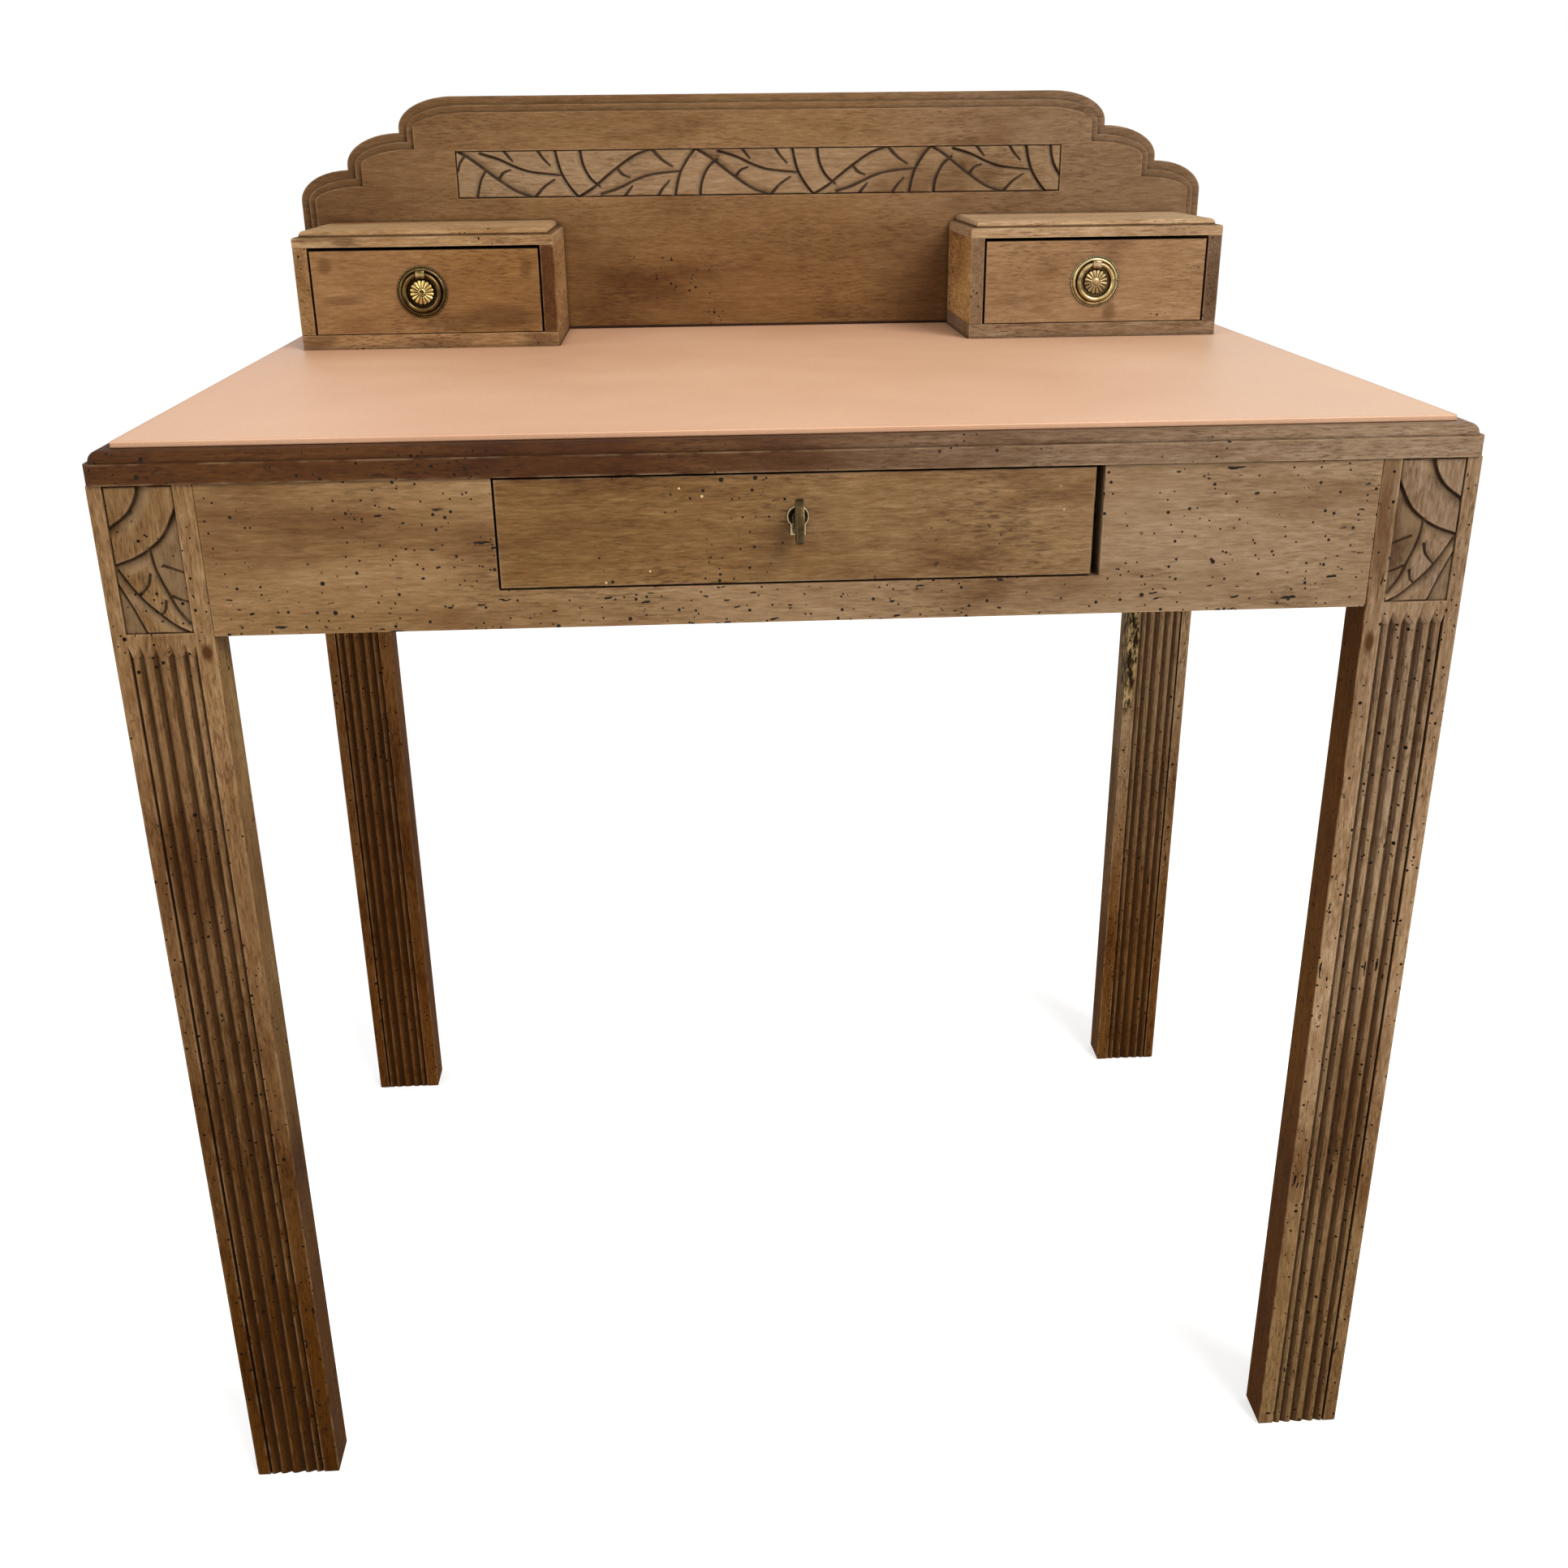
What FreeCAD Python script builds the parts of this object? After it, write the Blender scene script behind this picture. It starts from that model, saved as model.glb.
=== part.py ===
import FreeCAD, Part
import os
import re
from types import SimpleNamespace

# Writing table with reeded legs, a scalloped backboard and two drawer cases.
# Millimetres; +Z up, the front faces -Y; the origin is on the floor, at the middle of the whole box.

# Driving dimensions, kept in the document's sheet under these names
SIZES = {
    # table top
    "top_width": 800.0, "top_depth": 543.6, "band_height": 12.0, "band_corner": 5.0,
    "moulding_height": 6.6, "moulding_radius": 6.0, "quirk": 2.2, "sheet_inset": 13.3,
    "sheet_thickness": 3.7,
    # legs
    "leg_height": 726.0, "leg_width": 58.4, "leg_depth": 28.0, "side_set_in": 0.3,
    "front_set_in": 1.7, "back_set_in": 2.0, "foot_round": 3.0, "reed_margin": 8.4,
    "reed_field": 39.0, "reed_depth": 3.4, "ridge_drop": 0.3, "flank_hollow": 0.35,
    "reed_drop": 101.0, "reed_tip": 9.0, "panel_height": 86.8, "panel_depth": 2.4,
    # rails and their tenons
    "rail_height": 89.1, "rail_thickness": 20.0, "side_rail_set_in": 4.0, "tenon_length": 24.0,
    "side_tenon_length": 10.0, "tenon_thickness": 8.0, "tenon_set_back": 6.0, "tenon_shoulder": 10.0,
    "joint_play": 0.1,
    # main drawer and its runners
    "opening_left": 174.8, "opening_right": 177.4, "opening_height": 65.8, "gap_left": 1.3,
    "gap_right": 5.2, "gap_bottom": 1.2, "gap_top": 1.4, "front_thickness": 18.0,
    "room_behind": 89.9, "drawer_side": 10.0, "side_drop": 8.0, "bottom_lift": 6.0,
    "bottom_thickness": 6.0, "ledge_width": 26.0, "ledge_height": 14.0, "guide_play": 1.0,
    "guide_width": 14.0, "guide_drop": 4.0, "running_play": 0.3, "stop_length": 24.0,
    "stop_height": 16.0, "block_width": 25.0, "block_length": 45.0, "block_height": 32.0,
    # backboard
    "board_thickness": 18.2, "rim_thickness": 11.0, "bead_thickness": 14.6, "board_set_in": 20.4,
    "board_shoulder": 109.0, "board_height": 188.8, "scallop_run": 130.6, "rim_width": 6.8,
    "field_inset": 12.4, "scallop_riser": 3.4, "frieze_set_in": 126.6, "frieze_height": 37.0,
    "frieze_drop": 41.8, "frieze_shift": 4.0, "frieze_depth": 2.4, "dowel_radius": 4.0,
    "dowel_length": 24.0, "dowel_set_in": 119.6,
    # drawer cases
    "case_width": 200.4, "case_set_in": 36.0, "case_depth": 116.6, "case_board": 11.0,
    "case_side": 10.8, "case_opening": 65.4, "lid_edge": 7.6, "lid_edge_radius": 1.8,
    "lid_rise": 4.6, "lid_inset": 5.0, "lid_radius": 3.6, "small_gap": 1.5, "small_gap_top": 2.4,
    "small_front": 12.0, "small_room": 12.6, "small_side": 7.0, "small_drop": 6.0,
    "small_lift": 3.0, "small_bottom": 4.0,
    # ring pulls
    "plate_radius": 19.6, "plate_thickness": 1.4, "bead_radius": 1.1, "ring_radius": 13.4,
    "wire_radius": 1.8, "ring_standoff": 4.3, "left_pull_shift": 3.5, "knuckle_width": 7.0,
    "knuckle_height": 6.6, "knuckle_front": 3.1, "knuckle_bore": 2.45, "rosette_radius": 9.8,
    "rosette_height": 4.4, "rosette_edge": 1.4, "dimple_radius": 1.8, "post_radius": 2.0, "post_play": 0.05,
    "nut_radius": 5.0, "nut_thickness": 4.0,
    # lock and key
    "key_rise": 38.6, "key_proud": 23.0, "key_radius": 2.4, "key_play": 0.05, "bow_height": 26.0,
    "bow_length": 19.0, "bow_wall": 4.6, "bow_thickness": 4.4, "collar_radius": 3.8,
    "collar_length": 2.2, "bit_drop": 8.0, "bit_thickness": 2.2, "bit_length": 4.0,
    "plate_circle": 6.6, "skirt_width": 9.2, "skirt_drop": 11.0, "escutcheon_thickness": 1.6,
    "slot_width": 3.0, "slot_drop": 7.4, "lock_width": 56.0, "lock_drop": 20.0, "lock_depth": 14.0,
    "lock_wall": 2.0, "lock_top_gap": 1.0, "chamber_radius": 9.0, "bolt_width": 20.0,
    "bolt_thickness": 6.0, "bolt_lift": 9.6, "bolt_throw": 7.0, "strike_play": 2.0,
    # fasteners and cutting
    "screw_radius": 2.0, "screw_head": 4.2, "head_height": 2.6, "screw_grip": 12.0,
    "lock_screw_radius": 1.3, "lock_screw_head": 2.6, "lock_screw_length": 9.0, "overrun": 5.0,
}
S = SimpleNamespace(**SIZES)

# Shares of the reed field taken by each reed, from the inner to the outer edge of a leg
REED_SHARES = (0.172, 0.207, 0.242, 0.207, 0.172)
# Where a reed's ridge stands across the reed, from its outer crease
RIDGE_SHARE = 0.32
# How far each crease runs out above the reeds, of the longest run-out
TIP_SHARES = (0.85, 1.0, 0.9, 1.0, 0.92, 0.82)
# Scallops of the backboard, from the shoulder up: share of the way in and of the rise
SCALLOP_RUN_SHARES = (0.3105, 0.3426, 0.3469)
SCALLOP_RISE_SHARES = (0.3315, 0.3397, 0.3288)
# Weight of the middle pole of a quarter ellipse
QUARTER_SHARE = 0.5 ** 0.5
# Where the lock's screws stand, as a share of its width and of its height
LOCK_SCREW_SHARE = 0.4

doc = FreeCAD.newDocument("WritingTable")
sheet = doc.addObject("Spreadsheet::Sheet", "sizes")
for row, (alias, value) in enumerate(SIZES.items(), start=1):
    sheet.set(f"A{row}", alias)
    sheet.set(f"B{row}", str(value))
    sheet.setAlias(f"B{row}", alias)
doc.recompute()

NAME = re.compile(r"[a-z]+(?:_[a-z]+)+|overrun|quirk")
nodes = []

# Planes and edges that several pieces share, as formulas in the sheet's names
TOP_FRONT = "((key_proud - top_depth) / 2)"
TOP_BACK = "((key_proud + top_depth) / 2)"
FRONT = f"({TOP_FRONT} + front_set_in)"
BACK = f"({TOP_BACK} - back_set_in)"
DECK = "(leg_height + band_height + moulding_height)"
SURFACE = f"({DECK} + sheet_thickness)"
LEG_OUT = "(top_width / 2 - side_set_in)"
LEG_IN = f"({LEG_OUT} - leg_width)"
SIDE_OUT = f"({LEG_OUT} - side_rail_set_in)"
BOARD_FRONT = f"({TOP_BACK} - board_thickness)"
BOARD_HALF = "(top_width / 2 - board_set_in)"
BOARD_TOP = f"({DECK} + board_height)"
CASE_OUTER = "(top_width / 2 - case_set_in)"
CASE_INNER = f"({CASE_OUTER} - case_width)"
CASE_FRONT = f"({BOARD_FRONT} - case_depth)"
CASE_FLOOR = f"({SURFACE} + case_board)"
LID_BOTTOM = f"({CASE_FLOOR} + case_opening)"
RAIL_BOTTOM = "(leg_height - rail_height)"
OPENING_BOTTOM = "(leg_height - opening_height)"
DRAWER_BASE = f"({OPENING_BOTTOM} + gap_bottom)"
DRAWER_TOP = "(leg_height - gap_top)"
DRAWER_BACK = f"({BACK} - rail_thickness - room_behind)"
RUNNER_TOP = f"({DRAWER_BASE} - running_play)"
DRAWER_EDGE = {-1: "(opening_left - gap_left)", 1: "(opening_right - gap_right)"}
KEY_X = f"(({DRAWER_EDGE[1]} - {DRAWER_EDGE[-1]}) / 2)"
KEY_Z = f"({DRAWER_BASE} + key_rise)"
LOCK_FRONT = f"({FRONT} + front_thickness)"
LOCK_TOP = f"({DRAWER_TOP} - lock_top_gap)"
CASE_MIDDLE = f"(({CASE_INNER} + {CASE_OUTER}) / 2)"
PULL_X = {-1: f"-({CASE_MIDDLE} + left_pull_shift)", 1: CASE_MIDDLE}
SMALL_BASE = f"({CASE_FLOOR} + running_play)"
SMALL_TOP = f"({LID_BOTTOM} - small_gap_top)"
SMALL_BACK = f"({BOARD_FRONT} - small_room)"
PULL_Z = f"(({SMALL_BASE} + {SMALL_TOP}) / 2)"
SIDES = {-1: "left", 1: "right"}


def bind(obj, prop, formula):
    """Bind a property to a formula in the sheet's names."""
    obj.setExpression(prop, NAME.sub(r"sizes.\g<0>", formula))


def place(obj, x="0", y="0", z="0"):
    for axis, formula in zip("xyz", (x, y, z)):
        bind(obj, ".Placement.Base." + axis, formula)
    return obj


def across(side, low, high):
    """Limits along X on the right side, or mirrored to the left one."""
    return (low, high) if side > 0 else (f"-({high})", f"-({low})")


def signed(side, formula):
    return formula if side > 0 else f"-({formula})"


def board(name, x, y, z):
    """A square-edged board between three pairs of limits."""
    obj = doc.addObject("Part::Box", name)
    for prop, axis, (low, high) in zip(("Length", "Width", "Height"), "xyz", (x, y, z)):
        bind(obj, prop, f"({high}) - ({low})")
        bind(obj, ".Placement.Base." + axis, low)
    return obj


def rod(name, radius, length, x, y, z, along="z"):
    """A round rod that starts at a point and runs along +Z, +X or +Y."""
    obj = doc.addObject("Part::Cylinder", name)
    turns = {"z": (0, 0, 1, 0), "x": (0, 1, 0, 90), "y": (1, 0, 0, -90)}
    ax, ay, az, angle = turns[along]
    obj.Placement.Rotation = FreeCAD.Rotation(FreeCAD.Vector(ax, ay, az), angle)
    bind(obj, "Radius", radius)
    bind(obj, "Height", length)
    return place(obj, x, y, z)


def group(name, pieces):
    """Several separate solids that share one node."""
    obj = doc.addObject("Part::Compound", name)
    obj.Links = pieces
    return obj


def join(name, *pieces):
    obj = doc.addObject("Part::MultiFuse", name)
    obj.Shapes = list(pieces)
    return obj


def cut(name, base, *tools):
    obj = doc.addObject("Part::Cut", name)
    obj.Base = base
    obj.Tool = tools[0] if len(tools) == 1 else group(name + "_tools", list(tools))
    return obj


def node(obj, label):
    """Give a finished piece the name of its node."""
    obj.Label = label
    nodes.append(obj)
    return obj


def plane_of(body, role):
    return next(item for item in body.Origin.OriginFeatures if item.Role == role)


def sketch_on(body, name, role, geometry, offset=None):
    """A closed profile on one of the body's own origin planes."""
    sketch = body.newObject("Sketcher::SketchObject", name)
    sketch.AttachmentSupport = [(plane_of(body, role), "")]
    sketch.MapMode = "FlatFace"
    if offset:
        bind(sketch, ".AttachmentOffset.Base.z", offset)
    sketch.addGeometry(geometry, False)
    return sketch


def feature(body, kind, name, sketch, length, backwards=False):
    obj = body.newObject("PartDesign::" + kind, name)
    obj.Profile = sketch
    bind(obj, "Length", length)
    obj.Reversed = backwards
    return obj


def round_edges(body, name, radius, picks):
    """Round the edges of the body that a test picks."""
    doc.recompute()
    base = body.Tip
    edges = [f"Edge{index}" for index, edge in enumerate(base.Shape.Edges, 1) if picks(edge)]
    obj = body.newObject("PartDesign::Fillet", name)
    obj.Base = (base, edges)
    bind(obj, "Radius", radius)
    return obj


def polyline(points, closed=True):
    """Straight lines through points given as pairs."""
    spots = [FreeCAD.Vector(a, b, 0) for a, b in points]
    ends = spots[1:] + spots[:1] if closed else spots[1:]
    return [Part.LineSegment(start, end) for start, end in zip(spots, ends)]


def rectangle(x0, y0, x1, y1):
    return polyline([(x0, y0), (x1, y0), (x1, y1), (x0, y1)])


def quarter(start, corner, end):
    """A quarter ellipse between two points, tangent to the lines to its corner."""
    curve = Part.BSplineCurve()
    poles = [FreeCAD.Vector(a, b, 0) for a, b in (start, corner, end)]
    curve.buildFromPolesMultsKnots(poles, [3, 3], [0, 1], False, 2, [1, QUARTER_SHARE, 1])
    return curve


def is_level(edge, height):
    return all(abs(vertex.Z - height) < S.joint_play for vertex in edge.Vertexes)


# Legs

def creases_and_ridges(outer_side):
    """Places across a leg, from its left edge, of the six creases and the five ridges between them."""
    inner_start = S.leg_width - S.reed_margin - S.reed_field
    creases = [inner_start]
    ridges = []
    for share in REED_SHARES:
        creases.append(creases[-1] + share * S.reed_field)
        ridges.append(creases[-1] - RIDGE_SHARE * share * S.reed_field)
    if outer_side > 0:
        return creases, ridges
    return ([S.leg_width - c for c in creases], [S.leg_width - r for r in ridges])


def reed_profile(outer_side):
    """What is cut away in front of the reeds: a straight wall at each margin, a crease between reeds."""
    creases, ridges = creases_and_ridges(outer_side)
    start = FreeCAD.Vector(creases[0], -S.overrun, 0)
    lines = []
    spot = FreeCAD.Vector(creases[0], S.reed_depth, 0)
    lines.append(Part.LineSegment(start, spot))
    for ridge, crease in zip(ridges, creases[1:]):
        crest = FreeCAD.Vector(ridge, S.ridge_drop, 0)
        low = FreeCAD.Vector(crease, S.reed_depth, 0)
        middle = (spot + crest) * 0.5 + FreeCAD.Vector(0, S.flank_hollow, 0)
        lines.append(Part.Arc(spot, middle, crest))
        lines.append(Part.LineSegment(crest, low))
        spot = low
    end = FreeCAD.Vector(creases[-1], -S.overrun, 0)
    lines.append(Part.LineSegment(spot, end))
    lines.append(Part.LineSegment(end, start))
    return lines


def run_out(left, right, crease, height):
    """A four-sided spike with its base on the top of the reeds and its point on the leg's face."""
    base = [(left, 0), (right, 0), (crease, S.reed_depth)]
    reed_top = S.leg_height - S.reed_drop
    corners = [FreeCAD.Vector(x, y, reed_top) for x, y in base]
    corners.append(FreeCAD.Vector(crease, 0, reed_top + height))
    picks = ((0, 1, 2), (0, 1, 3), (1, 2, 3), (2, 0, 3))
    faces = [Part.Face(Part.makePolygon([corners[i] for i in pick + pick[:1]])) for pick in picks]
    return Part.Solid(Part.Shell(faces))


def reed_tips(name, outer_side):
    """The pointed ends of the six creases above the reeds."""
    creases, ridges = creases_and_ridges(outer_side)
    lows = creases[:1] + ridges
    highs = ridges + creases[-1:]
    spikes = [run_out(low, high, crease, share * S.reed_tip)
              for low, high, crease, share in zip(lows, highs, creases, TIP_SHARES)]
    obj = doc.addObject("Part::Feature", name)
    obj.Shape = Part.makeCompound(spikes)
    return obj


def tenon(name, side, place_name, play):
    """A rail's tenon in a leg, or with play round it, the leg's mortise."""
    end = f"{LEG_IN} + tenon_length + {play}"
    x = across(side, f"{LEG_IN} - overrun", end)
    if place_name == "front":
        y_low = f"{FRONT} + tenon_set_back"
    else:
        y_low = f"{BACK} - tenon_set_back - tenon_thickness"
    y = (f"{y_low} - {play}", f"{y_low} + tenon_thickness + {play}")
    z = (f"{RAIL_BOTTOM} + tenon_shoulder - {play}", f"leg_height - tenon_shoulder + {play}")
    return board(name, x, y, z)


def side_tenon(name, side, place_name, play):
    middle = f"{SIDE_OUT} - rail_thickness / 2"
    x = across(side, f"{middle} - tenon_thickness / 2 - {play}", f"{middle} + tenon_thickness / 2 + {play}")
    if place_name == "front":
        shoulder = f"{FRONT} + leg_depth"
        y = (f"{shoulder} - side_tenon_length - {play}", f"{shoulder} + overrun")
    else:
        shoulder = f"{BACK} - leg_depth"
        y = (f"{shoulder} - overrun", f"{shoulder} + side_tenon_length + {play}")
    z = (f"{RAIL_BOTTOM} + tenon_shoulder - {play}", f"leg_height - tenon_shoulder + {play}")
    return board(name, x, y, z)


def leg(side, place_name):
    label = f"leg_{place_name}_{SIDES[side]}"
    body = doc.addObject("PartDesign::Body", label + "_body")
    outline = sketch_on(body, label + "_outline", "XY_Plane", rectangle(0, 0, S.leg_width, S.leg_depth))
    feature(body, "Pad", label + "_post", outline, "leg_height")
    round_edges(body, label + "_foot", "foot_round", lambda edge: is_level(edge, 0))
    reeds = sketch_on(body, label + "_reeds", "XY_Plane", reed_profile(side))
    feature(body, "Pocket", label + "_reeding", reeds, "leg_height - reed_drop", backwards=True)
    if place_name == "front":
        low = min(creases_and_ridges(side)[0])
        window = rectangle(low, S.leg_height - S.panel_height, low + S.reed_field, S.leg_height)
        panel = sketch_on(body, label + "_panel", "XZ_Plane", window)
        feature(body, "Pocket", label + "_recess", panel, "panel_depth")
    tips = reed_tips(label + "_tips", side)
    left_edge = LEG_IN if side > 0 else f"-{LEG_OUT}"
    front_face = FRONT if place_name == "front" else f"{BACK} - leg_depth"
    for obj in (body, tips):
        place(obj, left_edge, front_face)
    mortises = [tenon(label + "_mortise", side, place_name, "joint_play"),
                side_tenon(label + "_side_mortise", side, place_name, "joint_play")]
    return node(cut(label, body, tips, *mortises), label)


# Rails, runners and blocks

def long_rail(place_name):
    label = place_name + "_rail"
    face = FRONT if place_name == "front" else f"{BACK} - rail_thickness"
    plank = board(label + "_plank", (f"-{LEG_IN}", LEG_IN), (face, f"{face} + rail_thickness"),
                  (RAIL_BOTTOM, "leg_height"))
    ends = [tenon(f"{label}_tenon_{SIDES[side]}", side, place_name, "0") for side in SIDES]
    rail = join(label + "_tenoned", plank, *ends)
    if place_name == "back":
        return node(rail, label)
    notch = board(label + "_notch", ("-opening_left", "opening_right"),
                  (f"{FRONT} - overrun", f"{FRONT} + rail_thickness + overrun"),
                  (OPENING_BOTTOM, "leg_height + overrun"))
    return node(cut(label, rail, notch), label)


def side_rail(side):
    label = "side_rail_" + SIDES[side]
    plank = board(label + "_plank", across(side, f"{SIDE_OUT} - rail_thickness", SIDE_OUT),
                  (f"{FRONT} + leg_depth", f"{BACK} - leg_depth"), (RAIL_BOTTOM, "leg_height"))
    ends = [side_tenon(f"{label}_tenon_{spot}", side, spot, "0") for spot in ("front", "back")]
    return node(join(label, plank, *ends), label)


def runner(side):
    """A ledge under the drawer's side with a guide beside it, from rail to rail."""
    label = "drawer_runner_" + SIDES[side]
    edge = DRAWER_EDGE[side]
    y = (f"{FRONT} + rail_thickness", f"{BACK} - rail_thickness")
    outside = f"{edge} + guide_play + guide_width"
    ledge = board(label + "_ledge", across(side, f"{edge} - ledge_width", outside), y,
                  (f"{RUNNER_TOP} - ledge_height", RUNNER_TOP))
    guide = board(label + "_guide", across(side, f"{edge} + guide_play", outside), y,
                  (f"{RUNNER_TOP} - ledge_height", "leg_height - guide_drop"))
    return node(join(label, ledge, guide), label)


def drawer_stops():
    """A block on each runner, just behind the closed drawer's side."""
    start = f"{DRAWER_BACK} + running_play"
    blocks = [board("stop_" + name, across(side, f"{DRAWER_EDGE[side]} - ledge_width", DRAWER_EDGE[side]),
                    (start, f"{start} + stop_length"), (RUNNER_TOP, f"{RUNNER_TOP} + stop_height"))
              for side, name in SIDES.items()]
    return node(group("drawer_stops", blocks), "drawer_stops")


def block_y(place_name):
    if place_name == "front":
        return f"{FRONT} + leg_depth", f"{FRONT} + leg_depth + block_length"
    return f"{BACK} - leg_depth - block_length", f"{BACK} - leg_depth"


CORNERS = [(side, place_name) for side in SIDES for place_name in ("front", "back")]
BLOCK_IN = f"({SIDE_OUT} - rail_thickness)"


def screw(name, x, y, z, play="0", head_down="0"):
    """An upright screw with its head at the bottom; with play, the hole that it passes through."""
    shank = rod(name + "_shank", f"screw_radius + {play}", "block_height + screw_grip", x, y, z)
    head = rod(name + "_head", f"screw_head + {play}", f"head_height + {head_down}", x, y,
               f"{z} - {head_down}")
    return join(name, shank, head)


def block_screw(side, place_name, purpose, play="0", head_down="0"):
    low, high = block_y(place_name)
    x = signed(side, f"{BLOCK_IN} - block_width / 2")
    return screw(f"{purpose}_{place_name}_{SIDES[side]}", x, f"({low} + {high}) / 2",
                 "leg_height - block_height", play, head_down)


def corner_blocks():
    """Glue blocks in the corners, each against a leg, a side rail and the top."""
    blocks = []
    for side, place_name in CORNERS:
        name = f"block_{place_name}_{SIDES[side]}"
        wood = board(name + "_wood", across(side, f"{BLOCK_IN} - block_width", BLOCK_IN), block_y(place_name),
                     ("leg_height - block_height", "leg_height"))
        blocks.append(cut(name, wood, block_screw(side, place_name, "block_hole", "joint_play", "overrun")))
    node(group("corner_blocks", blocks), "corner_blocks")
    screws = [block_screw(side, place_name, "top_screw") for side, place_name in CORNERS]
    node(group("top_screws", screws), "top_screws")


# Table top

def rounded_front(half, front, back, corner):
    """A rectangle with its two front corners rounded."""
    bend = half - corner
    lines = [Part.LineSegment(FreeCAD.Vector(-bend, front, 0), FreeCAD.Vector(bend, front, 0))]
    lines.append(quarter((bend, front), (half, front), (half, front + corner)))
    lines += polyline([(half, front + corner), (half, back), (-half, back), (-half, front + corner)], False)
    lines.append(quarter((-half, front + corner), (-half, front), (-bend, front)))
    return lines


def dowels(purpose, play):
    low = f"{DECK} - dowel_length / 2 - {play}"
    reach = f"({BOARD_HALF} - dowel_set_in)"
    return [rod(f"{purpose}_{spot}", f"dowel_radius + {play}", f"dowel_length + 2 * {play}",
                f"{reach} * {spot}", f"{TOP_BACK} - board_thickness / 2", low) for spot in (-1, 0, 1)]


def top_board():
    """The wooden top: a plain band, a quirk and a quarter-round on the front and the sides."""
    body = doc.addObject("PartDesign::Body", "top_body")
    half = S.top_width / 2
    band = sketch_on(body, "top_band", "XY_Plane", rounded_front(half, 0, S.top_depth, S.band_corner))
    feature(body, "Pad", "top_plank", band, "band_height")
    upper = rounded_front(half - S.quirk, S.quirk, S.top_depth, S.band_corner)
    deck = sketch_on(body, "top_deck", "XY_Plane", upper, "band_height")
    feature(body, "Pad", "top_rise", deck, "moulding_height")
    upper_z = S.band_height + S.moulding_height

    def on_moulding(edge):
        at_back = all(abs(vertex.Y - S.top_depth) < S.quirk / 2 for vertex in edge.Vertexes)
        return is_level(edge, upper_z) and not at_back

    round_edges(body, "top_moulding", "moulding_radius", on_moulding)
    place(body, "0", TOP_FRONT, "leg_height")
    strike = bolt_space("strike", "joint_play", f"{LOCK_TOP} - overrun",
                        f"{LOCK_TOP} + bolt_throw + strike_play")
    holes = [block_screw(side, place_name, "top_hole", "joint_play") for side, place_name in CORNERS]
    node(cut("top_board", body, strike, *holes, *dowels("top_dowel_hole", "joint_play")), "top_board")
    node(group("backboard_dowels", dowels("dowel", "0")), "backboard_dowels")


def writing_surface():
    """The leathercloth panel, with a notch round the foot of each case."""
    half = "(top_width / 2 - sheet_inset)"
    y = (f"{TOP_FRONT} + sheet_inset", BOARD_FRONT)
    panel = board("cloth_panel", (f"-{half}", half), y, (DECK, SURFACE))
    notches = [board("cloth_notch_" + name,
                     across(side, f"{CASE_INNER} - joint_play", f"{CASE_OUTER} + joint_play"),
                     (f"{CASE_FRONT} - joint_play", f"{BOARD_FRONT} + overrun"),
                     (f"{DECK} - overrun", f"{SURFACE} + overrun")) for side, name in SIDES.items()]
    node(cut("writing_surface", panel, *notches), "writing_surface")


# Backboard

def scallop_outline(inset):
    """The stepped outline of the backboard, drawn in by an inset on the sides and the top."""
    run = S.scallop_run
    rise = S.board_height - S.board_shoulder - S.scallop_riser * (len(SCALLOP_RUN_SHARES) - 1)
    x = S.board_set_in - S.top_width / 2
    z = S.board_shoulder
    left = [[(x + inset, 0), (x + inset, z)]]
    for run_share, rise_share in zip(SCALLOP_RUN_SHARES, SCALLOP_RISE_SHARES):
        end_x = x + run * run_share
        end_z = z + rise * rise_share
        left.append([(x + inset, z), (x + inset, end_z - inset), (end_x + inset, end_z - inset)])
        left.append([(end_x + inset, end_z - inset), (end_x + inset, end_z + S.scallop_riser)])
        x = end_x
        z = end_z + S.scallop_riser
    left.pop()
    right = [[(-a, b) for a, b in reversed(stretch)] for stretch in reversed(left)]
    flat = [[left[-1][-1], right[0][0]]]
    base = [[right[-1][-1], left[0][0]]]
    lines = []
    for stretch in left + flat + right + base:
        lines += [quarter(*stretch)] if len(stretch) == 3 else polyline(stretch, False)
    return lines


def backboard():
    """A board in three steps: the rim, a narrow bead and the raised field with the frieze's recess."""
    body = doc.addObject("PartDesign::Body", "backboard_body")
    steps = (("rim", 0, "rim_thickness"), ("bead", S.rim_width, "bead_thickness"),
             ("field", S.field_inset, "board_thickness"))
    for name, inset, thickness in steps:
        outline = sketch_on(body, "backboard_" + name, "XZ_Plane", scallop_outline(inset))
        feature(body, "Pad", f"backboard_{name}_pad", outline, thickness)
    place(body, "0", TOP_BACK, DECK)
    half = f"({BOARD_HALF} - frieze_set_in)"
    recess = board("frieze_recess", (f"frieze_shift - {half}", f"frieze_shift + {half}"),
                   (f"{BOARD_FRONT} - overrun", f"{BOARD_FRONT} + frieze_depth"),
                   (f"{BOARD_TOP} - frieze_drop - frieze_height", f"{BOARD_TOP} - frieze_drop"))
    node(cut("backboard", body, recess, *dowels("board_dowel_hole", "joint_play")), "backboard")


# Drawer cases

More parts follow.
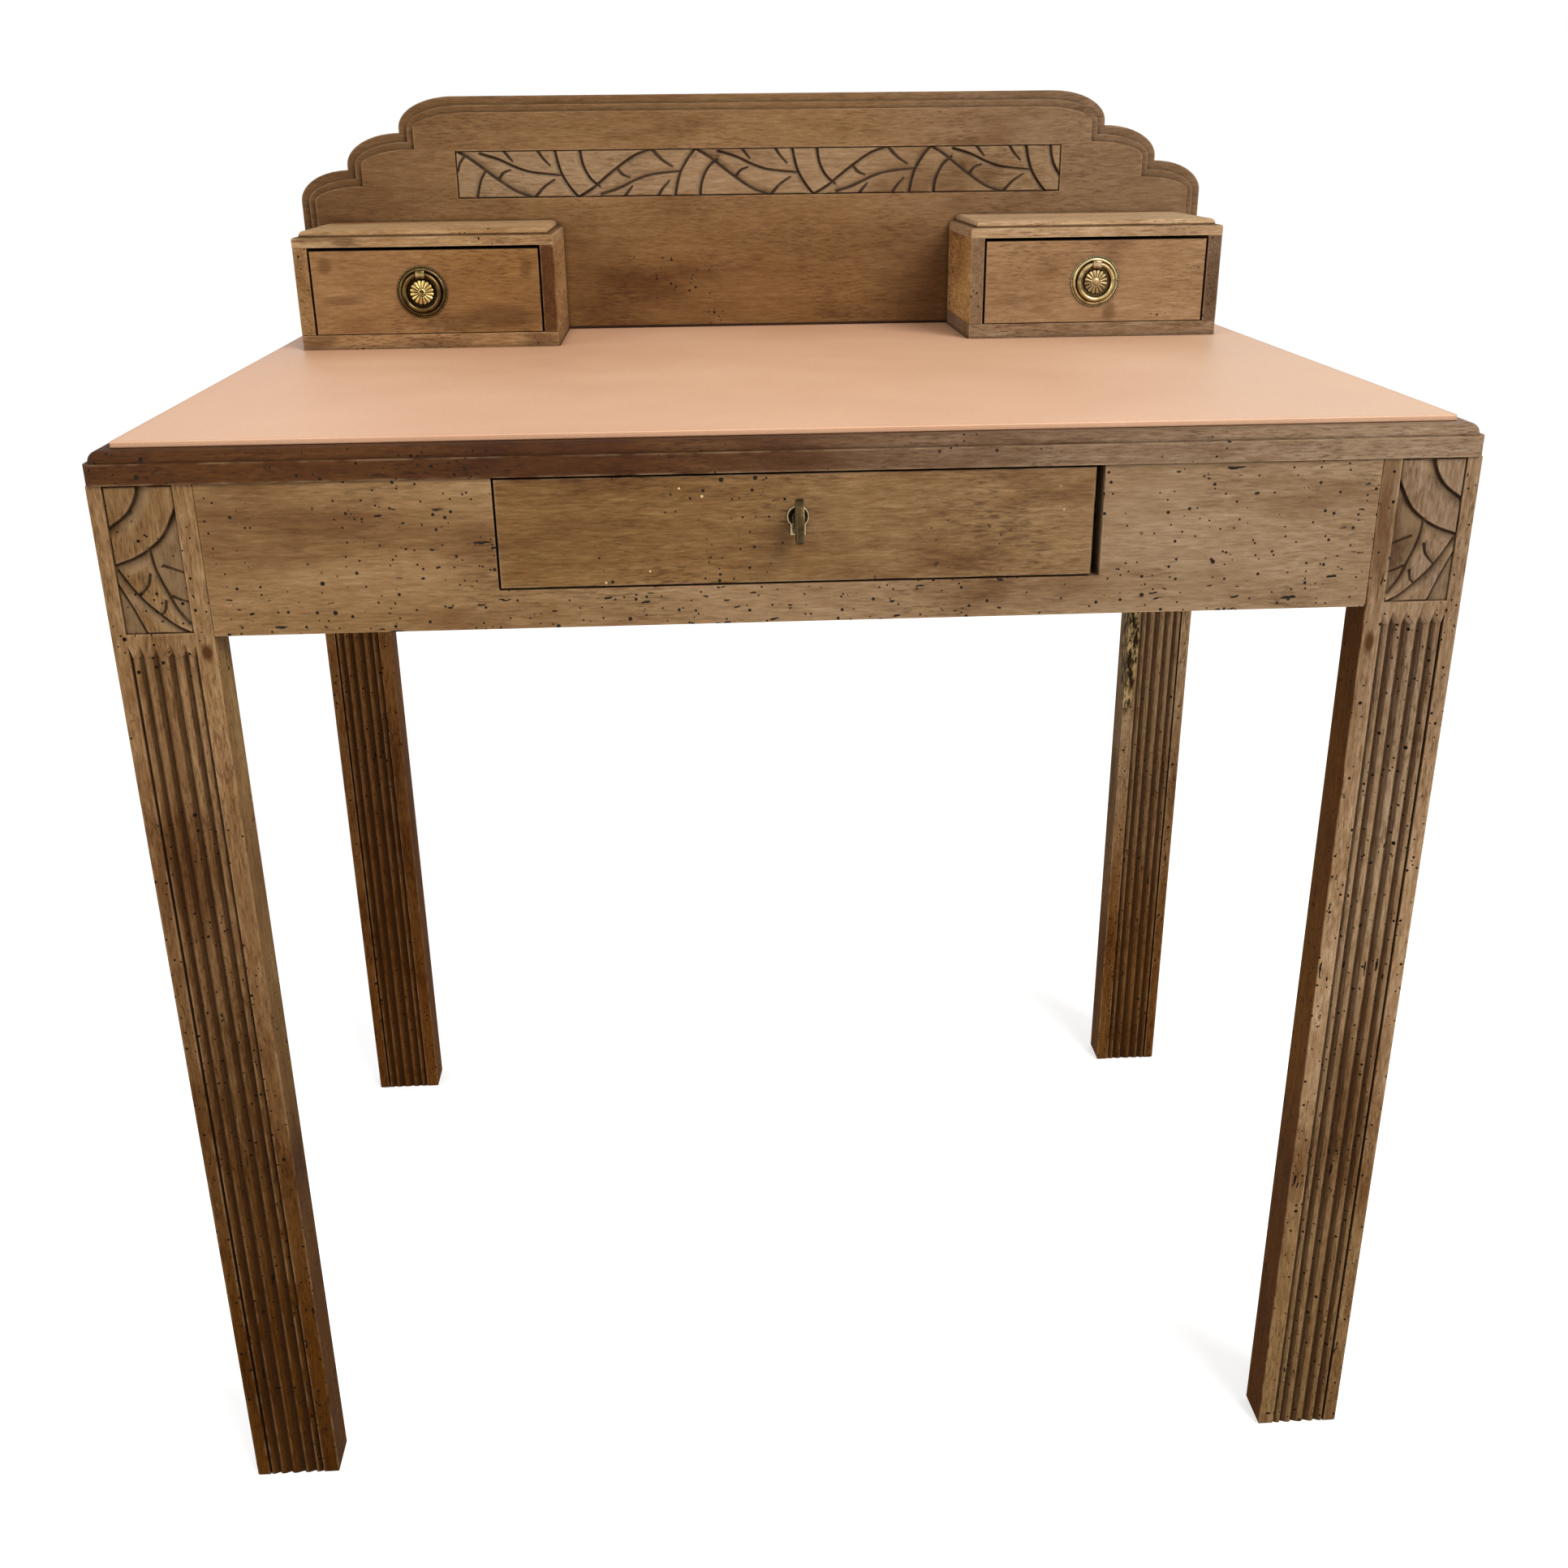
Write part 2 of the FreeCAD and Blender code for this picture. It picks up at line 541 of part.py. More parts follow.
def case_lid(side):
    """The lid: a flat edge with a softened arris, a step in and a quarter-round to the upper face."""
    label = f"{SIDES[side]}_case_lid"
    body = doc.addObject("PartDesign::Body", label + "_body")
    width = S.case_width
    lower = sketch_on(body, label + "_edge", "XY_Plane", rectangle(0, 0, width, S.case_depth))
    feature(body, "Pad", label + "_plank", lower, "lid_edge")

    def moulded(height, margin):
        def test(edge):
            at_back = all(vertex.Y > S.case_depth - margin for vertex in edge.Vertexes)
            return is_level(edge, height) and not at_back
        return test

    round_edges(body, label + "_arris", "lid_edge_radius", moulded(S.lid_edge, S.lid_inset / 2))
    step = rectangle(S.lid_inset, S.lid_inset, width - S.lid_inset, S.case_depth)
    upper = sketch_on(body, label + "_step", "XY_Plane", step, "lid_edge")
    feature(body, "Pad", label + "_rise", upper, "lid_rise")
    round_edges(body, label + "_round", "lid_radius", moulded(S.lid_edge + S.lid_rise, S.lid_inset / 2))
    left_edge = CASE_INNER if side > 0 else f"-{CASE_OUTER}"
    return node(place(body, left_edge, CASE_FRONT, LID_BOTTOM), label)


def drawer_case(side):
    name = SIDES[side]
    y = (CASE_FRONT, BOARD_FRONT)
    upright = (CASE_FLOOR, LID_BOTTOM)
    node(board(f"{name}_case_bottom", across(side, CASE_INNER, CASE_OUTER), y, (DECK, CASE_FLOOR)),
         f"{name}_case_bottom")
    node(board(f"{name}_case_outer_side", across(side, f"{CASE_OUTER} - case_side", CASE_OUTER), y, upright),
         f"{name}_case_outer_side")
    node(board(f"{name}_case_inner_side", across(side, CASE_INNER, f"{CASE_INNER} + case_side"), y, upright),
         f"{name}_case_inner_side")
    case_lid(side)


# Drawers

def drawer_box(label, x, front, rear, z, sizes):
    """Sides, back and bottom behind a drawer front, butted and grooved as joiners do."""
    low, high = x
    base, top = z
    side, drop, lift, thick, front_size = sizes
    y = (f"{front} + {front_size}", rear)
    inside = (f"{low} + {side}", f"{high} - {side}")
    walls = (base, f"{top} - {drop}")
    node(board(label + "_side_left", (low, inside[0]), y, walls), label + "_side_left")
    node(board(label + "_side_right", (inside[1], high), y, walls), label + "_side_right")
    back = (f"{y[1]} - {side}", y[1])
    node(board(label + "_back", inside, back, (f"{base} + {lift} + {thick}", walls[1])), label + "_back")
    node(board(label + "_bottom", inside, y, (f"{base} + {lift}", f"{base} + {lift} + {thick}")),
         label + "_bottom")


def bolt_space(name, play, low, high):
    """The room of the lock bolt, or the bolt itself, between two heights."""
    x = (f"{KEY_X} - bolt_width / 2 - {play}", f"{KEY_X} + bolt_width / 2 + {play}")
    middle = f"{LOCK_FRONT} + lock_depth / 2"
    y = (f"{middle} - bolt_thickness / 2 - {play}", f"{middle} + bolt_thickness / 2 + {play}")
    return board(name, x, y, (low, high))


def lock_screws(purpose, play):
    """Four screws through the lock's plate into the drawer front."""
    screws = []
    for across_sign in (-1, 1):
        for up_share in (1 - LOCK_SCREW_SHARE, LOCK_SCREW_SHARE):
            name = f"{purpose}_{'left' if across_sign < 0 else 'right'}_{'low' if up_share > 0.5 else 'high'}"
            x = f"{KEY_X} + {across_sign} * lock_width * {LOCK_SCREW_SHARE}"
            z = f"{LOCK_TOP} - (lock_drop + {LOCK_TOP} - {KEY_Z}) * {up_share}"
            back = f"{LOCK_FRONT} + lock_depth"
            shank = rod(name + "_shank", f"lock_screw_radius + {play}", "lock_depth + lock_screw_length", x,
                        f"{back} - lock_depth - lock_screw_length", z, "y")
            head = rod(name + "_head", "lock_screw_head", "lock_wall", x, back, z, "y")
            screws.append(join(name, shank, head))
    return screws


def keyway(name, low, high, radius="key_radius + key_play"):
    return rod(name, radius, f"{high} - ({low})", KEY_X, low, KEY_Z, "y")


def main_drawer():
    x = (f"-{DRAWER_EDGE[-1]}", DRAWER_EDGE[1])
    z = (DRAWER_BASE, DRAWER_TOP)
    plank = board("main_front_plank", x, (FRONT, LOCK_FRONT), z)
    hole = keyway("main_front_keyway", f"{FRONT} - overrun", f"{LOCK_FRONT} + overrun", "slot_width")
    pilot = lock_screws("front_pilot", "joint_play")
    node(cut("main_drawer_front", plank, hole, *pilot), "main_drawer_front")
    drawer_box("main_drawer", x, FRONT, DRAWER_BACK, z,
               ("drawer_side", "side_drop", "bottom_lift", "bottom_thickness", "front_thickness"))


def escutcheon():
    """A keyhole-shaped plate: a round head over a straight skirt, with the keyhole cut through."""
    body = doc.addObject("PartDesign::Body", "escutcheon_body")
    half = S.skirt_width / 2
    meet = -(S.plate_circle ** 2 - half ** 2) ** 0.5
    top = FreeCAD.Vector(0, S.plate_circle, 0)
    outline = polyline([(-half, meet), (-half, -S.skirt_drop), (half, -S.skirt_drop), (half, meet)], False)
    outline.append(Part.Arc(FreeCAD.Vector(half, meet, 0), top, FreeCAD.Vector(-half, meet, 0)))
    plate = sketch_on(body, "escutcheon_outline", "XZ_Plane", outline)
    feature(body, "Pad", "escutcheon_plate", plate, "escutcheon_thickness")
    place(body, KEY_X, FRONT, KEY_Z)
    out = f"{FRONT} - escutcheon_thickness - overrun"
    hole = keyway("escutcheon_hole", out, f"{FRONT} + overrun")
    slot = board("escutcheon_slot", (f"{KEY_X} - slot_width / 2", f"{KEY_X} + slot_width / 2"),
                 (out, f"{FRONT} + overrun"), (f"{KEY_Z} - slot_drop", KEY_Z))
    node(cut("lock_escutcheon", body, join("escutcheon_keyhole", hole, slot)), "lock_escutcheon")


def lock():
    """A box lock: the case with the bolt's channel and the key's chamber, the bolt and the screws."""
    shell = board("lock_shell", (f"{KEY_X} - lock_width / 2", f"{KEY_X} + lock_width / 2"),
                  (LOCK_FRONT, f"{LOCK_FRONT} + lock_depth"), (f"{KEY_Z} - lock_drop", LOCK_TOP))
    channel = bolt_space("lock_channel", "joint_play", KEY_Z, f"{LOCK_TOP} + overrun")
    chamber = keyway("lock_chamber", f"{LOCK_FRONT} + lock_wall", f"{LOCK_FRONT} + lock_depth - lock_wall",
                     "chamber_radius")
    mouth = keyway("lock_mouth", f"{LOCK_FRONT} - overrun", f"{LOCK_FRONT} + lock_depth / 2")
    hollow = join("lock_hollow", channel, chamber, mouth)
    node(cut("lock_case", shell, hollow, *lock_screws("case_pilot", "joint_play")), "lock_case")
    node(bolt_space("lock_bolt", "0", f"{KEY_Z} + bolt_lift", LOCK_TOP), "lock_bolt")
    node(group("lock_screws", lock_screws("lock_screw", "0")), "lock_screws")


def key():
    """The key: an oval bow in an upright plane, a collar, a round shank and the bit inside the lock."""
    bow_front = f"({TOP_FRONT} - key_proud)"
    body = doc.addObject("PartDesign::Body", "key_bow_body")
    ovals = []
    for wall in (0, S.bow_wall):
        ends = [FreeCAD.Vector(0, S.bow_height / 2 - wall, 0), FreeCAD.Vector(wall - S.bow_length / 2, 0, 0)]
        ovals.append(Part.Ellipse(*ends, FreeCAD.Vector(0, 0, 0)))
    outline = sketch_on(body, "key_bow", "YZ_Plane", ovals)
    pad = feature(body, "Pad", "key_bow_pad", outline, "bow_thickness")
    pad.Midplane = True
    place(body, KEY_X, f"{bow_front} + bow_length / 2", KEY_Z)
    start = f"{bow_front} + bow_length - bow_wall / 2"
    end = f"{LOCK_FRONT} + lock_depth - lock_wall - key_play"
    shank = keyway("key_shank", start, end, "key_radius")
    collar = keyway("key_collar", f"{bow_front} + bow_length - bow_wall / 4",
                    f"{bow_front} + bow_length - bow_wall / 4 + collar_length", "collar_radius")
    middle = f"{LOCK_FRONT} + lock_depth / 2"
    bit = board("key_bit", (f"{KEY_X} - bit_thickness / 2", f"{KEY_X} + bit_thickness / 2"),
                (f"{middle} - bit_length / 2", f"{middle} + bit_length / 2"),
                (f"{KEY_Z} - bit_drop", KEY_Z))
    node(join("drawer_key", body, shank, collar, bit), "drawer_key")


def small_drawer(side):
    label = SIDES[side] + "_drawer"
    x = across(side, f"{CASE_INNER} + case_side + small_gap", f"{CASE_OUTER} - case_side - small_gap")
    z = (SMALL_BASE, SMALL_TOP)
    plank = board(label + "_plank", x, (CASE_FRONT, f"{CASE_FRONT} + small_front"), z)
    hole = rod(label + "_post_hole", "post_radius + post_play", "small_front + 2 * overrun",
               PULL_X[side], f"{CASE_FRONT} - overrun", PULL_Z, "y")
    node(cut(label + "_front", plank, hole), label + "_front")
    drawer_box(label, x, CASE_FRONT, SMALL_BACK, z,
               ("small_side", "small_drop", "small_lift", "small_bottom", "small_front"))


# Ring pulls

def revolved(name, geometry):
    """A body turned about the line that points out of the drawer front."""
    body = doc.addObject("PartDesign::Body", name + "_body")
    profile = sketch_on(body, name + "_profile", "XY_Plane", geometry)
    turn = body.newObject("PartDesign::Revolution", name + "_turning")
    turn.Profile = profile
    turn.ReferenceAxis = (profile, ["V_Axis"])
    turn.Angle = 360
    return body


def plate_profile():
    """Half the section of the pull's plate: a flat disc with a round bead at its rim."""
    face = -S.plate_thickness
    bead_in = S.plate_radius - 2 * S.bead_radius
    lines = polyline([(bead_in, face), (0, face), (0, 0), (S.plate_radius, 0), (S.plate_radius, face)], False)
    crown = FreeCAD.Vector(S.plate_radius - S.bead_radius, face - S.bead_radius, 0)
    lines.append(Part.Arc(FreeCAD.Vector(S.plate_radius, face, 0), crown, FreeCAD.Vector(bead_in, face, 0)))
    return lines


def rosette_profile():
    """Half the section of the rosette: a low edge, a dome and a dimple in the middle."""
    front = -S.rosette_height
    edge = -S.rosette_edge
    lines = polyline([(0, front + S.dimple_radius / 2), (0, 0), (S.rosette_radius, 0),
                      (S.rosette_radius, edge)], False)
    lines.append(quarter((S.rosette_radius, edge), (S.rosette_radius, front), (S.dimple_radius, front)))
    lines.append(quarter((S.dimple_radius, front), (0, front), (0, front + S.dimple_radius / 2)))
    return lines


def pull(side):
    name = SIDES[side] + "_pull"
    x = PULL_X[side]
    post_start = f"{CASE_FRONT} - plate_thickness"
    hole = rod(name + "_plate_hole", "post_radius + post_play", "2 * overrun", x,
               f"{CASE_FRONT} - overrun", PULL_Z, "y")
    disc = place(revolved(name + "_plate", plate_profile()), x, CASE_FRONT, PULL_Z)
    wire = f"({CASE_FRONT} - ring_standoff)"
    pivot = f"({PULL_Z} + ring_radius)"
    knuckle = board(name + "_knuckle", (f"{x} - knuckle_width / 2", f"{x} + knuckle_width / 2"),
                    (f"{wire} - knuckle_front", CASE_FRONT),
                    (f"{pivot} - knuckle_height / 2", f"{pivot} + knuckle_height / 2"))
    bore = rod(name + "_bore", "knuckle_bore", "knuckle_width + 2 * overrun",
               f"{x} - knuckle_width / 2 - overrun", wire, pivot, "x")
    node(cut(name + "_plate", join(name + "_cast", disc, knuckle), bore, hole), name + "_plate")
    dome = revolved(name + "_rosette", rosette_profile())
    node(place(dome, x, post_start, PULL_Z), name + "_rosette")
    shank = rod(name + "_shank", "post_radius", "plate_thickness + small_front + nut_thickness", x,
                post_start, PULL_Z, "y")
    nut = doc.addObject("Part::Prism", name + "_nut")
    nut.Polygon = 6
    nut.Placement.Rotation = FreeCAD.Rotation(FreeCAD.Vector(1, 0, 0), -90)
    bind(nut, "Circumradius", "nut_radius")
    bind(nut, "Height", "nut_thickness")
    place(nut, x, f"{CASE_FRONT} + small_front", PULL_Z)
    node(join(name + "_post", shank, nut), name + "_post")
    ring = doc.addObject("Part::Torus", name + "_ring")
    ring.Placement.Rotation = FreeCAD.Rotation(FreeCAD.Vector(1, 0, 0), 90)
    bind(ring, "Radius1", "ring_radius")
    bind(ring, "Radius2", "wire_radius")
    node(place(ring, x, wire, PULL_Z), name + "_ring")


# The whole table

for corner in CORNERS:
    leg(*corner)
long_rail("front")
long_rail("back")
for side in SIDES:
    side_rail(side)
    runner(side)
drawer_stops()
corner_blocks()
top_board()
writing_surface()
backboard()
for side in SIDES:
    drawer_case(side)
    small_drawer(side)
    pull(side)
main_drawer()
escutcheon()
lock()
key()
doc.recompute()

faults = [obj.Name for obj in doc.Objects if {"Invalid", "Error"} & set(obj.State)]
faults += [obj.Label for obj in nodes if obj.Shape.isNull() or not obj.Shape.isValid()]
if faults:
    raise SystemExit("not sound: " + ", ".join(faults))
os.makedirs("parts", exist_ok=True)
for obj in nodes:
    obj.Shape.exportStep(f"parts/{obj.Label}.step")
print(len(nodes), "pieces written")
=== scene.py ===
import math

import bpy
import numpy as np
from mathutils import Matrix, Vector


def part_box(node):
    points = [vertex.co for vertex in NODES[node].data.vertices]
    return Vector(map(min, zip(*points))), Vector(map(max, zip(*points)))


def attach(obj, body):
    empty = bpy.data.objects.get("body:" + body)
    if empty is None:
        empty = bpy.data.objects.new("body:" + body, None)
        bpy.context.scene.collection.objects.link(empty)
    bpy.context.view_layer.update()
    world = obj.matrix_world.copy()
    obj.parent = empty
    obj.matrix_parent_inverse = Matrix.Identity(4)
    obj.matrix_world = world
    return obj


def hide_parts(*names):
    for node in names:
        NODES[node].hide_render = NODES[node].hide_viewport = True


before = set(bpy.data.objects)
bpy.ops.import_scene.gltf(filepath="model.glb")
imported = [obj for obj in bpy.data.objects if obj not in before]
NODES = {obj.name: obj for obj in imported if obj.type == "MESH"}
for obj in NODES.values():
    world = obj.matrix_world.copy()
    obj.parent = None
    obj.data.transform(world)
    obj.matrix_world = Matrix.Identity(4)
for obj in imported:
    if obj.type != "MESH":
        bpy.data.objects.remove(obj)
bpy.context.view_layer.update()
MM = 0.001

# Faces of the frame, in metres
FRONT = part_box("leg_front_right")[0].y
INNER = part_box("leg_front_right")[0].x
LEG_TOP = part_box("leg_front_right")[1].z
BACK_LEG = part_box("leg_back_right")[0].y
BOARD_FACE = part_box("backboard")[0].y
CASE_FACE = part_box("left_drawer_front")[0].y
LID_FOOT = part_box("left_case_lid")[0].z
SHEET_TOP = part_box("writing_surface")[1].z


# Camera at the photograph's place

LENS, SENSOR = 36.905, 36.0
CAMERA_PLACE = (-0.05893, -1.17339, 0.90866)
CAMERA_TURNS = ((-22.226, "X"), (1.7832, "Y"), (-2.8103, "Z"), (90, "X"))


def aim_camera():
    data = bpy.data.cameras.new("camera")
    data.lens = LENS
    data.sensor_width = SENSOR
    camera = bpy.data.objects.new("camera", data)
    bpy.context.scene.collection.objects.link(camera)
    turn = Matrix.Identity(3)
    for angle, axis in CAMERA_TURNS:
        turn = turn @ Matrix.Rotation(math.radians(angle), 3, axis)
    camera.matrix_world = Matrix.Translation(CAMERA_PLACE) @ turn.to_4x4()
    bpy.context.scene.camera = camera


# Materials

class Tree:
    """A material and short ways to add its nodes."""

    def __init__(self, name):
        self.material = bpy.data.materials.new(name)
        self.material.use_nodes = True
        self.tree = self.material.node_tree
        self.shader = self.tree.nodes["Principled BSDF"]

    def feed(self, socket, value):
        if isinstance(value, bpy.types.NodeSocket):
            self.tree.links.new(value, socket)
        elif isinstance(value, tuple) and len(value) == 3 and socket.type == "RGBA":
            socket.default_value = (*value, 1)
        else:
            socket.default_value = value

    def node(self, kind, inputs=None, **settings):
        made = self.tree.nodes.new("ShaderNode" + kind)
        for key, value in settings.items():
            setattr(made, key, value)
        for key, value in (inputs or {}).items():
            self.feed(made.inputs[key], value)
        return made

    def math(self, operation, a, b=0.0):
        return self.node("Math", {0: a, 1: b}, operation=operation).outputs[0]

    def times(self, a, b):
        return self.math("MULTIPLY", a, b)

    def total(self, *parts):
        """The sum of values, each times its weight."""
        weighted = [self.times(value, weight) for value, weight in parts]
        summed = weighted[0]
        for part in weighted[1:]:
            summed = self.math("ADD", summed, part)
        return summed

    def span(self, value, low, high, to_low=0.0, to_high=1.0, smooth=False):
        """A value's way from low to high, as a share from to_low to to_high."""
        made = self.node("MapRange", {"Value": value, "From Min": low, "From Max": high,
                                      "To Min": to_low, "To Max": to_high})
        made.interpolation_type = "SMOOTHSTEP" if smooth else "LINEAR"
        return made.outputs["Result"]

    def mix(self, share, a, b, blend="MIX"):
        made = self.node("Mix", data_type="RGBA", blend_type=blend)
        for index, value in ((0, share), (6, a), (7, b)):
            self.feed(made.inputs[index], value)
        return made.outputs[2]

    def tinted(self, colour, tint):
        return self.mix(1.0, colour, tint, "MULTIPLY")

    def noise(self, vector, scale, detail=2.0, rough=0.5, distortion=0.0):
        made = self.node("TexNoise", {"Vector": vector, "Scale": scale, "Detail": detail,
                                      "Roughness": rough, "Distortion": distortion})
        return made.outputs["Fac"]

    def spots(self, vector, scale):
        made = self.node("TexVoronoi", {"Vector": vector, "Scale": scale, "Randomness": 1.0})
        return made.outputs["Distance"]

    def ramp(self, value, stops):
        made = self.node("ValToRGB", {"Fac": value})
        elements = made.color_ramp.elements
        while len(elements) < len(stops):
            elements.new(0.5)
        for element, (place, colour) in zip(elements, stops):
            element.position = place
            element.color = (*colour, 1)
        return made.outputs["Color"]

    def place(self, scale=(1, 1, 1), shift=(0, 0, 0)):
        here = self.node("TexCoord").outputs["Object"]
        made = self.node("Mapping", {"Vector": here, "Scale": scale, "Location": shift})
        return made.outputs["Vector"]

    def along(self, axis):
        return self.node("SeparateXYZ", {0: self.place()}).outputs[axis]

    def away(self, place, size, ragged):
        """How far a spot lies from a place, in shares of a size, with an edge that a noise makes ragged."""
        offset = self.node("VectorMath", {0: self.place(), 1: place}, operation="SUBTRACT").outputs[0]
        scaled = self.node("VectorMath", {0: offset, 1: size}, operation="DIVIDE").outputs[0]
        distance = self.node("VectorMath", {0: scaled}, operation="LENGTH").outputs["Value"]
        return self.math("ADD", distance, self.times(self.math("SUBTRACT", ragged, 0.5), 1.2))

    def hollow(self, distance, inside=False):
        """How open a spot is: 1 in the open, less in a corner, or with inside, less on an edge."""
        made = self.node("AmbientOcclusion", {"Distance": distance}, samples=6, inside=inside)
        return made.outputs["AO"]

    def dark_lines(self):
        """The share of dark wax or tarnish, and of painted shade, that a piece's points carry."""
        return self.node("Attribute", attribute_name="wax").outputs["Fac"]

    def finish(self, colour, roughness, height, depth, strength, **constants):
        self.feed(self.shader.inputs["Base Color"], colour)
        self.feed(self.shader.inputs["Roughness"], roughness)
        for key, value in constants.items():
            self.shader.inputs[key.replace("_", " ")].default_value = value
        bump = self.node("Bump", {"Height": height, "Distance": depth, "Strength": strength})
        self.feed(self.shader.inputs["Normal"], bump.outputs["Normal"])
        return self.material


# Waxed wood

GRAIN = {"X": (1, 8, 8), "Y": (8, 1, 8), "Z": (8, 8, 1)}
HONEY = ((0.36, (0.105, 0.046, 0.015)), (0.45, (0.205, 0.106, 0.040)),
         (0.54, (0.285, 0.163, 0.070)), (0.64, (0.395, 0.252, 0.128)))
CLOUDS = ((0.33, (0.62, 0.52, 0.43)), (0.47, (0.97, 0.96, 0.95)), (0.68, (1.10, 1.12, 1.16)))
CRUMBS = ((0.44, (0.016, 0.009, 0.004)), (0.52, (0.17, 0.11, 0.045)), (0.64, (0.36, 0.25, 0.12)))
PORE = (0.050, 0.021, 0.008)
KNOT = (0.055, 0.019, 0.005)
WORN_LIT_ARRIS = (0.43, 0.28, 0.150)
WAX_AND_SHADE = (0.030, 0.012, 0.004)
LINE_WAX_AND_SHADE = (0.016, 0.007, 0.003)
HOLE = (0.010, 0.006, 0.003)
STOPPING = (0.62, 0.42, 0.24)
PLAIN = (1.0, 1.0, 1.0)
# The field of reeds on a leg, from the table's middle, where it ends below the leg's head, and its depth
REEDS_INNER, REEDS_OUTER, REEDS_END, REEDS_DEPTH = 0.3522, 0.3914, 0.636, 0.005
RAGGED_WAX_AND_SHADE = 0.0009
# How wide a board's worn arrises with their painted highlight are, and how far its corners of dark wax and
# painted shade reach
ARRIS_REACH, CORNER_REACH = 0.0022, 0.006


class Board:
    """The noises that a board's colour, gloss and relief share, laid along its grain."""

    def __init__(self, t, grain, seed):
        stretch = GRAIN[grain]
        laid = t.place(stretch, (seed, seed * 0.7, seed * 1.3))
        clouded = t.place(tuple(s ** 0.45 for s in stretch), (seed, seed, seed))
        flecked = t.place(tuple(s ** 0.85 for s in stretch), (seed, seed * 0.2, seed))
        self.grain = grain
        self.seed = seed
        self.plain = t.place((1, 1, 1), (seed * 0.3, seed, seed * 0.6))
        self.figure = t.noise(laid, 3.2, 2.0, 0.45, 0.8)
        self.streak = t.noise(laid, 34.0, 5.0, 0.70, 0.3)
        self.fibre = t.noise(laid, 84.0, 4.0, 0.76)
        self.blotch = t.noise(clouded, 7.0, 5.0, 0.6)
        flecks = t.span(t.noise(flecked, 130.0, 2.0, 0.55), 0.54, 0.63)
        self.pores = t.times(flecks, t.span(t.noise(self.plain, 16.0, 2.0), 0.40, 0.62, 0.25, 1.0))


def bare_colour(t, board, calm):
    """The wood's own colour: figure, streaks and fibres, clouded and with dark pores."""
    rings = t.math("SINE", t.times(board.figure, 62.0))
    tone = t.total((board.figure, 0.22), (rings, 0.018), (board.streak, 0.24), (board.fibre, 0.54))
    colour = t.ramp(t.span(tone, 0.0, 1.0, 0.5 - 0.5 * calm, 0.5 + 0.5 * calm), HONEY)
    colour = t.tinted(colour, t.ramp(board.blotch, CLOUDS))
    return t.mix(t.times(board.pores, 0.66 * calm), colour, PORE)


def faded(t, colour, board, axis, low, high, low_tint, high_tint):
    """A colour that goes from one tint to another between two places on an axis."""
    wobble = t.times(t.math("SUBTRACT", board.blotch, 0.5), 0.5 * (high - low))
    share = t.span(t.math("ADD", t.along(axis), wobble), low, high, smooth=True)
    return t.tinted(colour, t.mix(share, low_tint, high_tint))


def crumbled(t, colour, board, place, size):
    """A patch that worms have eaten to crumbs."""
    tunnels = t.noise(t.place((1, 1, 0.3), (board.seed, 0, board.seed)), 330.0, 3.0, 0.7)
    share = t.span(t.away(place, size, board.blotch), 1.0, 0.80)
    return t.mix(share, colour, t.ramp(tunnels, CRUMBS))


def crease_wax_and_shade(t, front, start):
    """Dark wax and painted shade between the reeds of a leg, whose front face is at that place, from a depth
    below it.
    """
    across = t.math("ABSOLUTE", t.along("X"))
    field = t.times(t.math("GREATER_THAN", across, REEDS_INNER), t.math("LESS_THAN", across, REEDS_OUTER))
    field = t.times(field, t.math("LESS_THAN", t.along("Z"), REEDS_END))
    depth = t.math("SUBTRACT", t.along("Y"), front)
    field = t.times(field, t.math("LESS_THAN", depth, REEDS_DEPTH))
    ragged = t.noise(t.place((60, 60, 9)), 4.0, 4.0, 0.65)
    depth = t.math("ADD", depth, t.times(t.math("SUBTRACT", ragged, 0.5), RAGGED_WAX_AND_SHADE))
    wax = t.math("MAXIMUM", t.span(depth, start, start + 0.0005, 0.0, 0.82),
                 t.span(depth, start + 0.0007, start + 0.0013))
    return t.times(wax, field)


def worn_waxed_lit_and_shaded(t, colour, board, reeds):
    """Pale arrises, worn and with a painted highlight, and dark wax with painted shade in the corners and
    between the reeds of a leg.
    """
    # Pale arrises: wear, and a painted highlight where an edge catches the light
    edge = t.span(t.hollow(ARRIS_REACH, inside=True), 0.80, 0.45)
    edge = t.times(edge, t.span(t.noise(board.plain, 60.0, 2.0), 0.35, 0.6))
    colour = t.mix(t.times(edge, 0.45), colour, WORN_LIT_ARRIS)
    # Dark wax and painted shade in the corners
    deep = t.span(t.hollow(CORNER_REACH), 0.82, 0.30)
    deep = t.times(deep, t.span(board.blotch, 0.25, 0.6, 0.8, 1.0))
    if reeds:
        # Between the reeds: dark wax and painted shade on the flanks
        deep = t.math("MAXIMUM", t.times(deep, 0.4), crease_wax_and_shade(t, *reeds))
    return t.mix(t.times(deep, 0.88), colour, WAX_AND_SHADE)


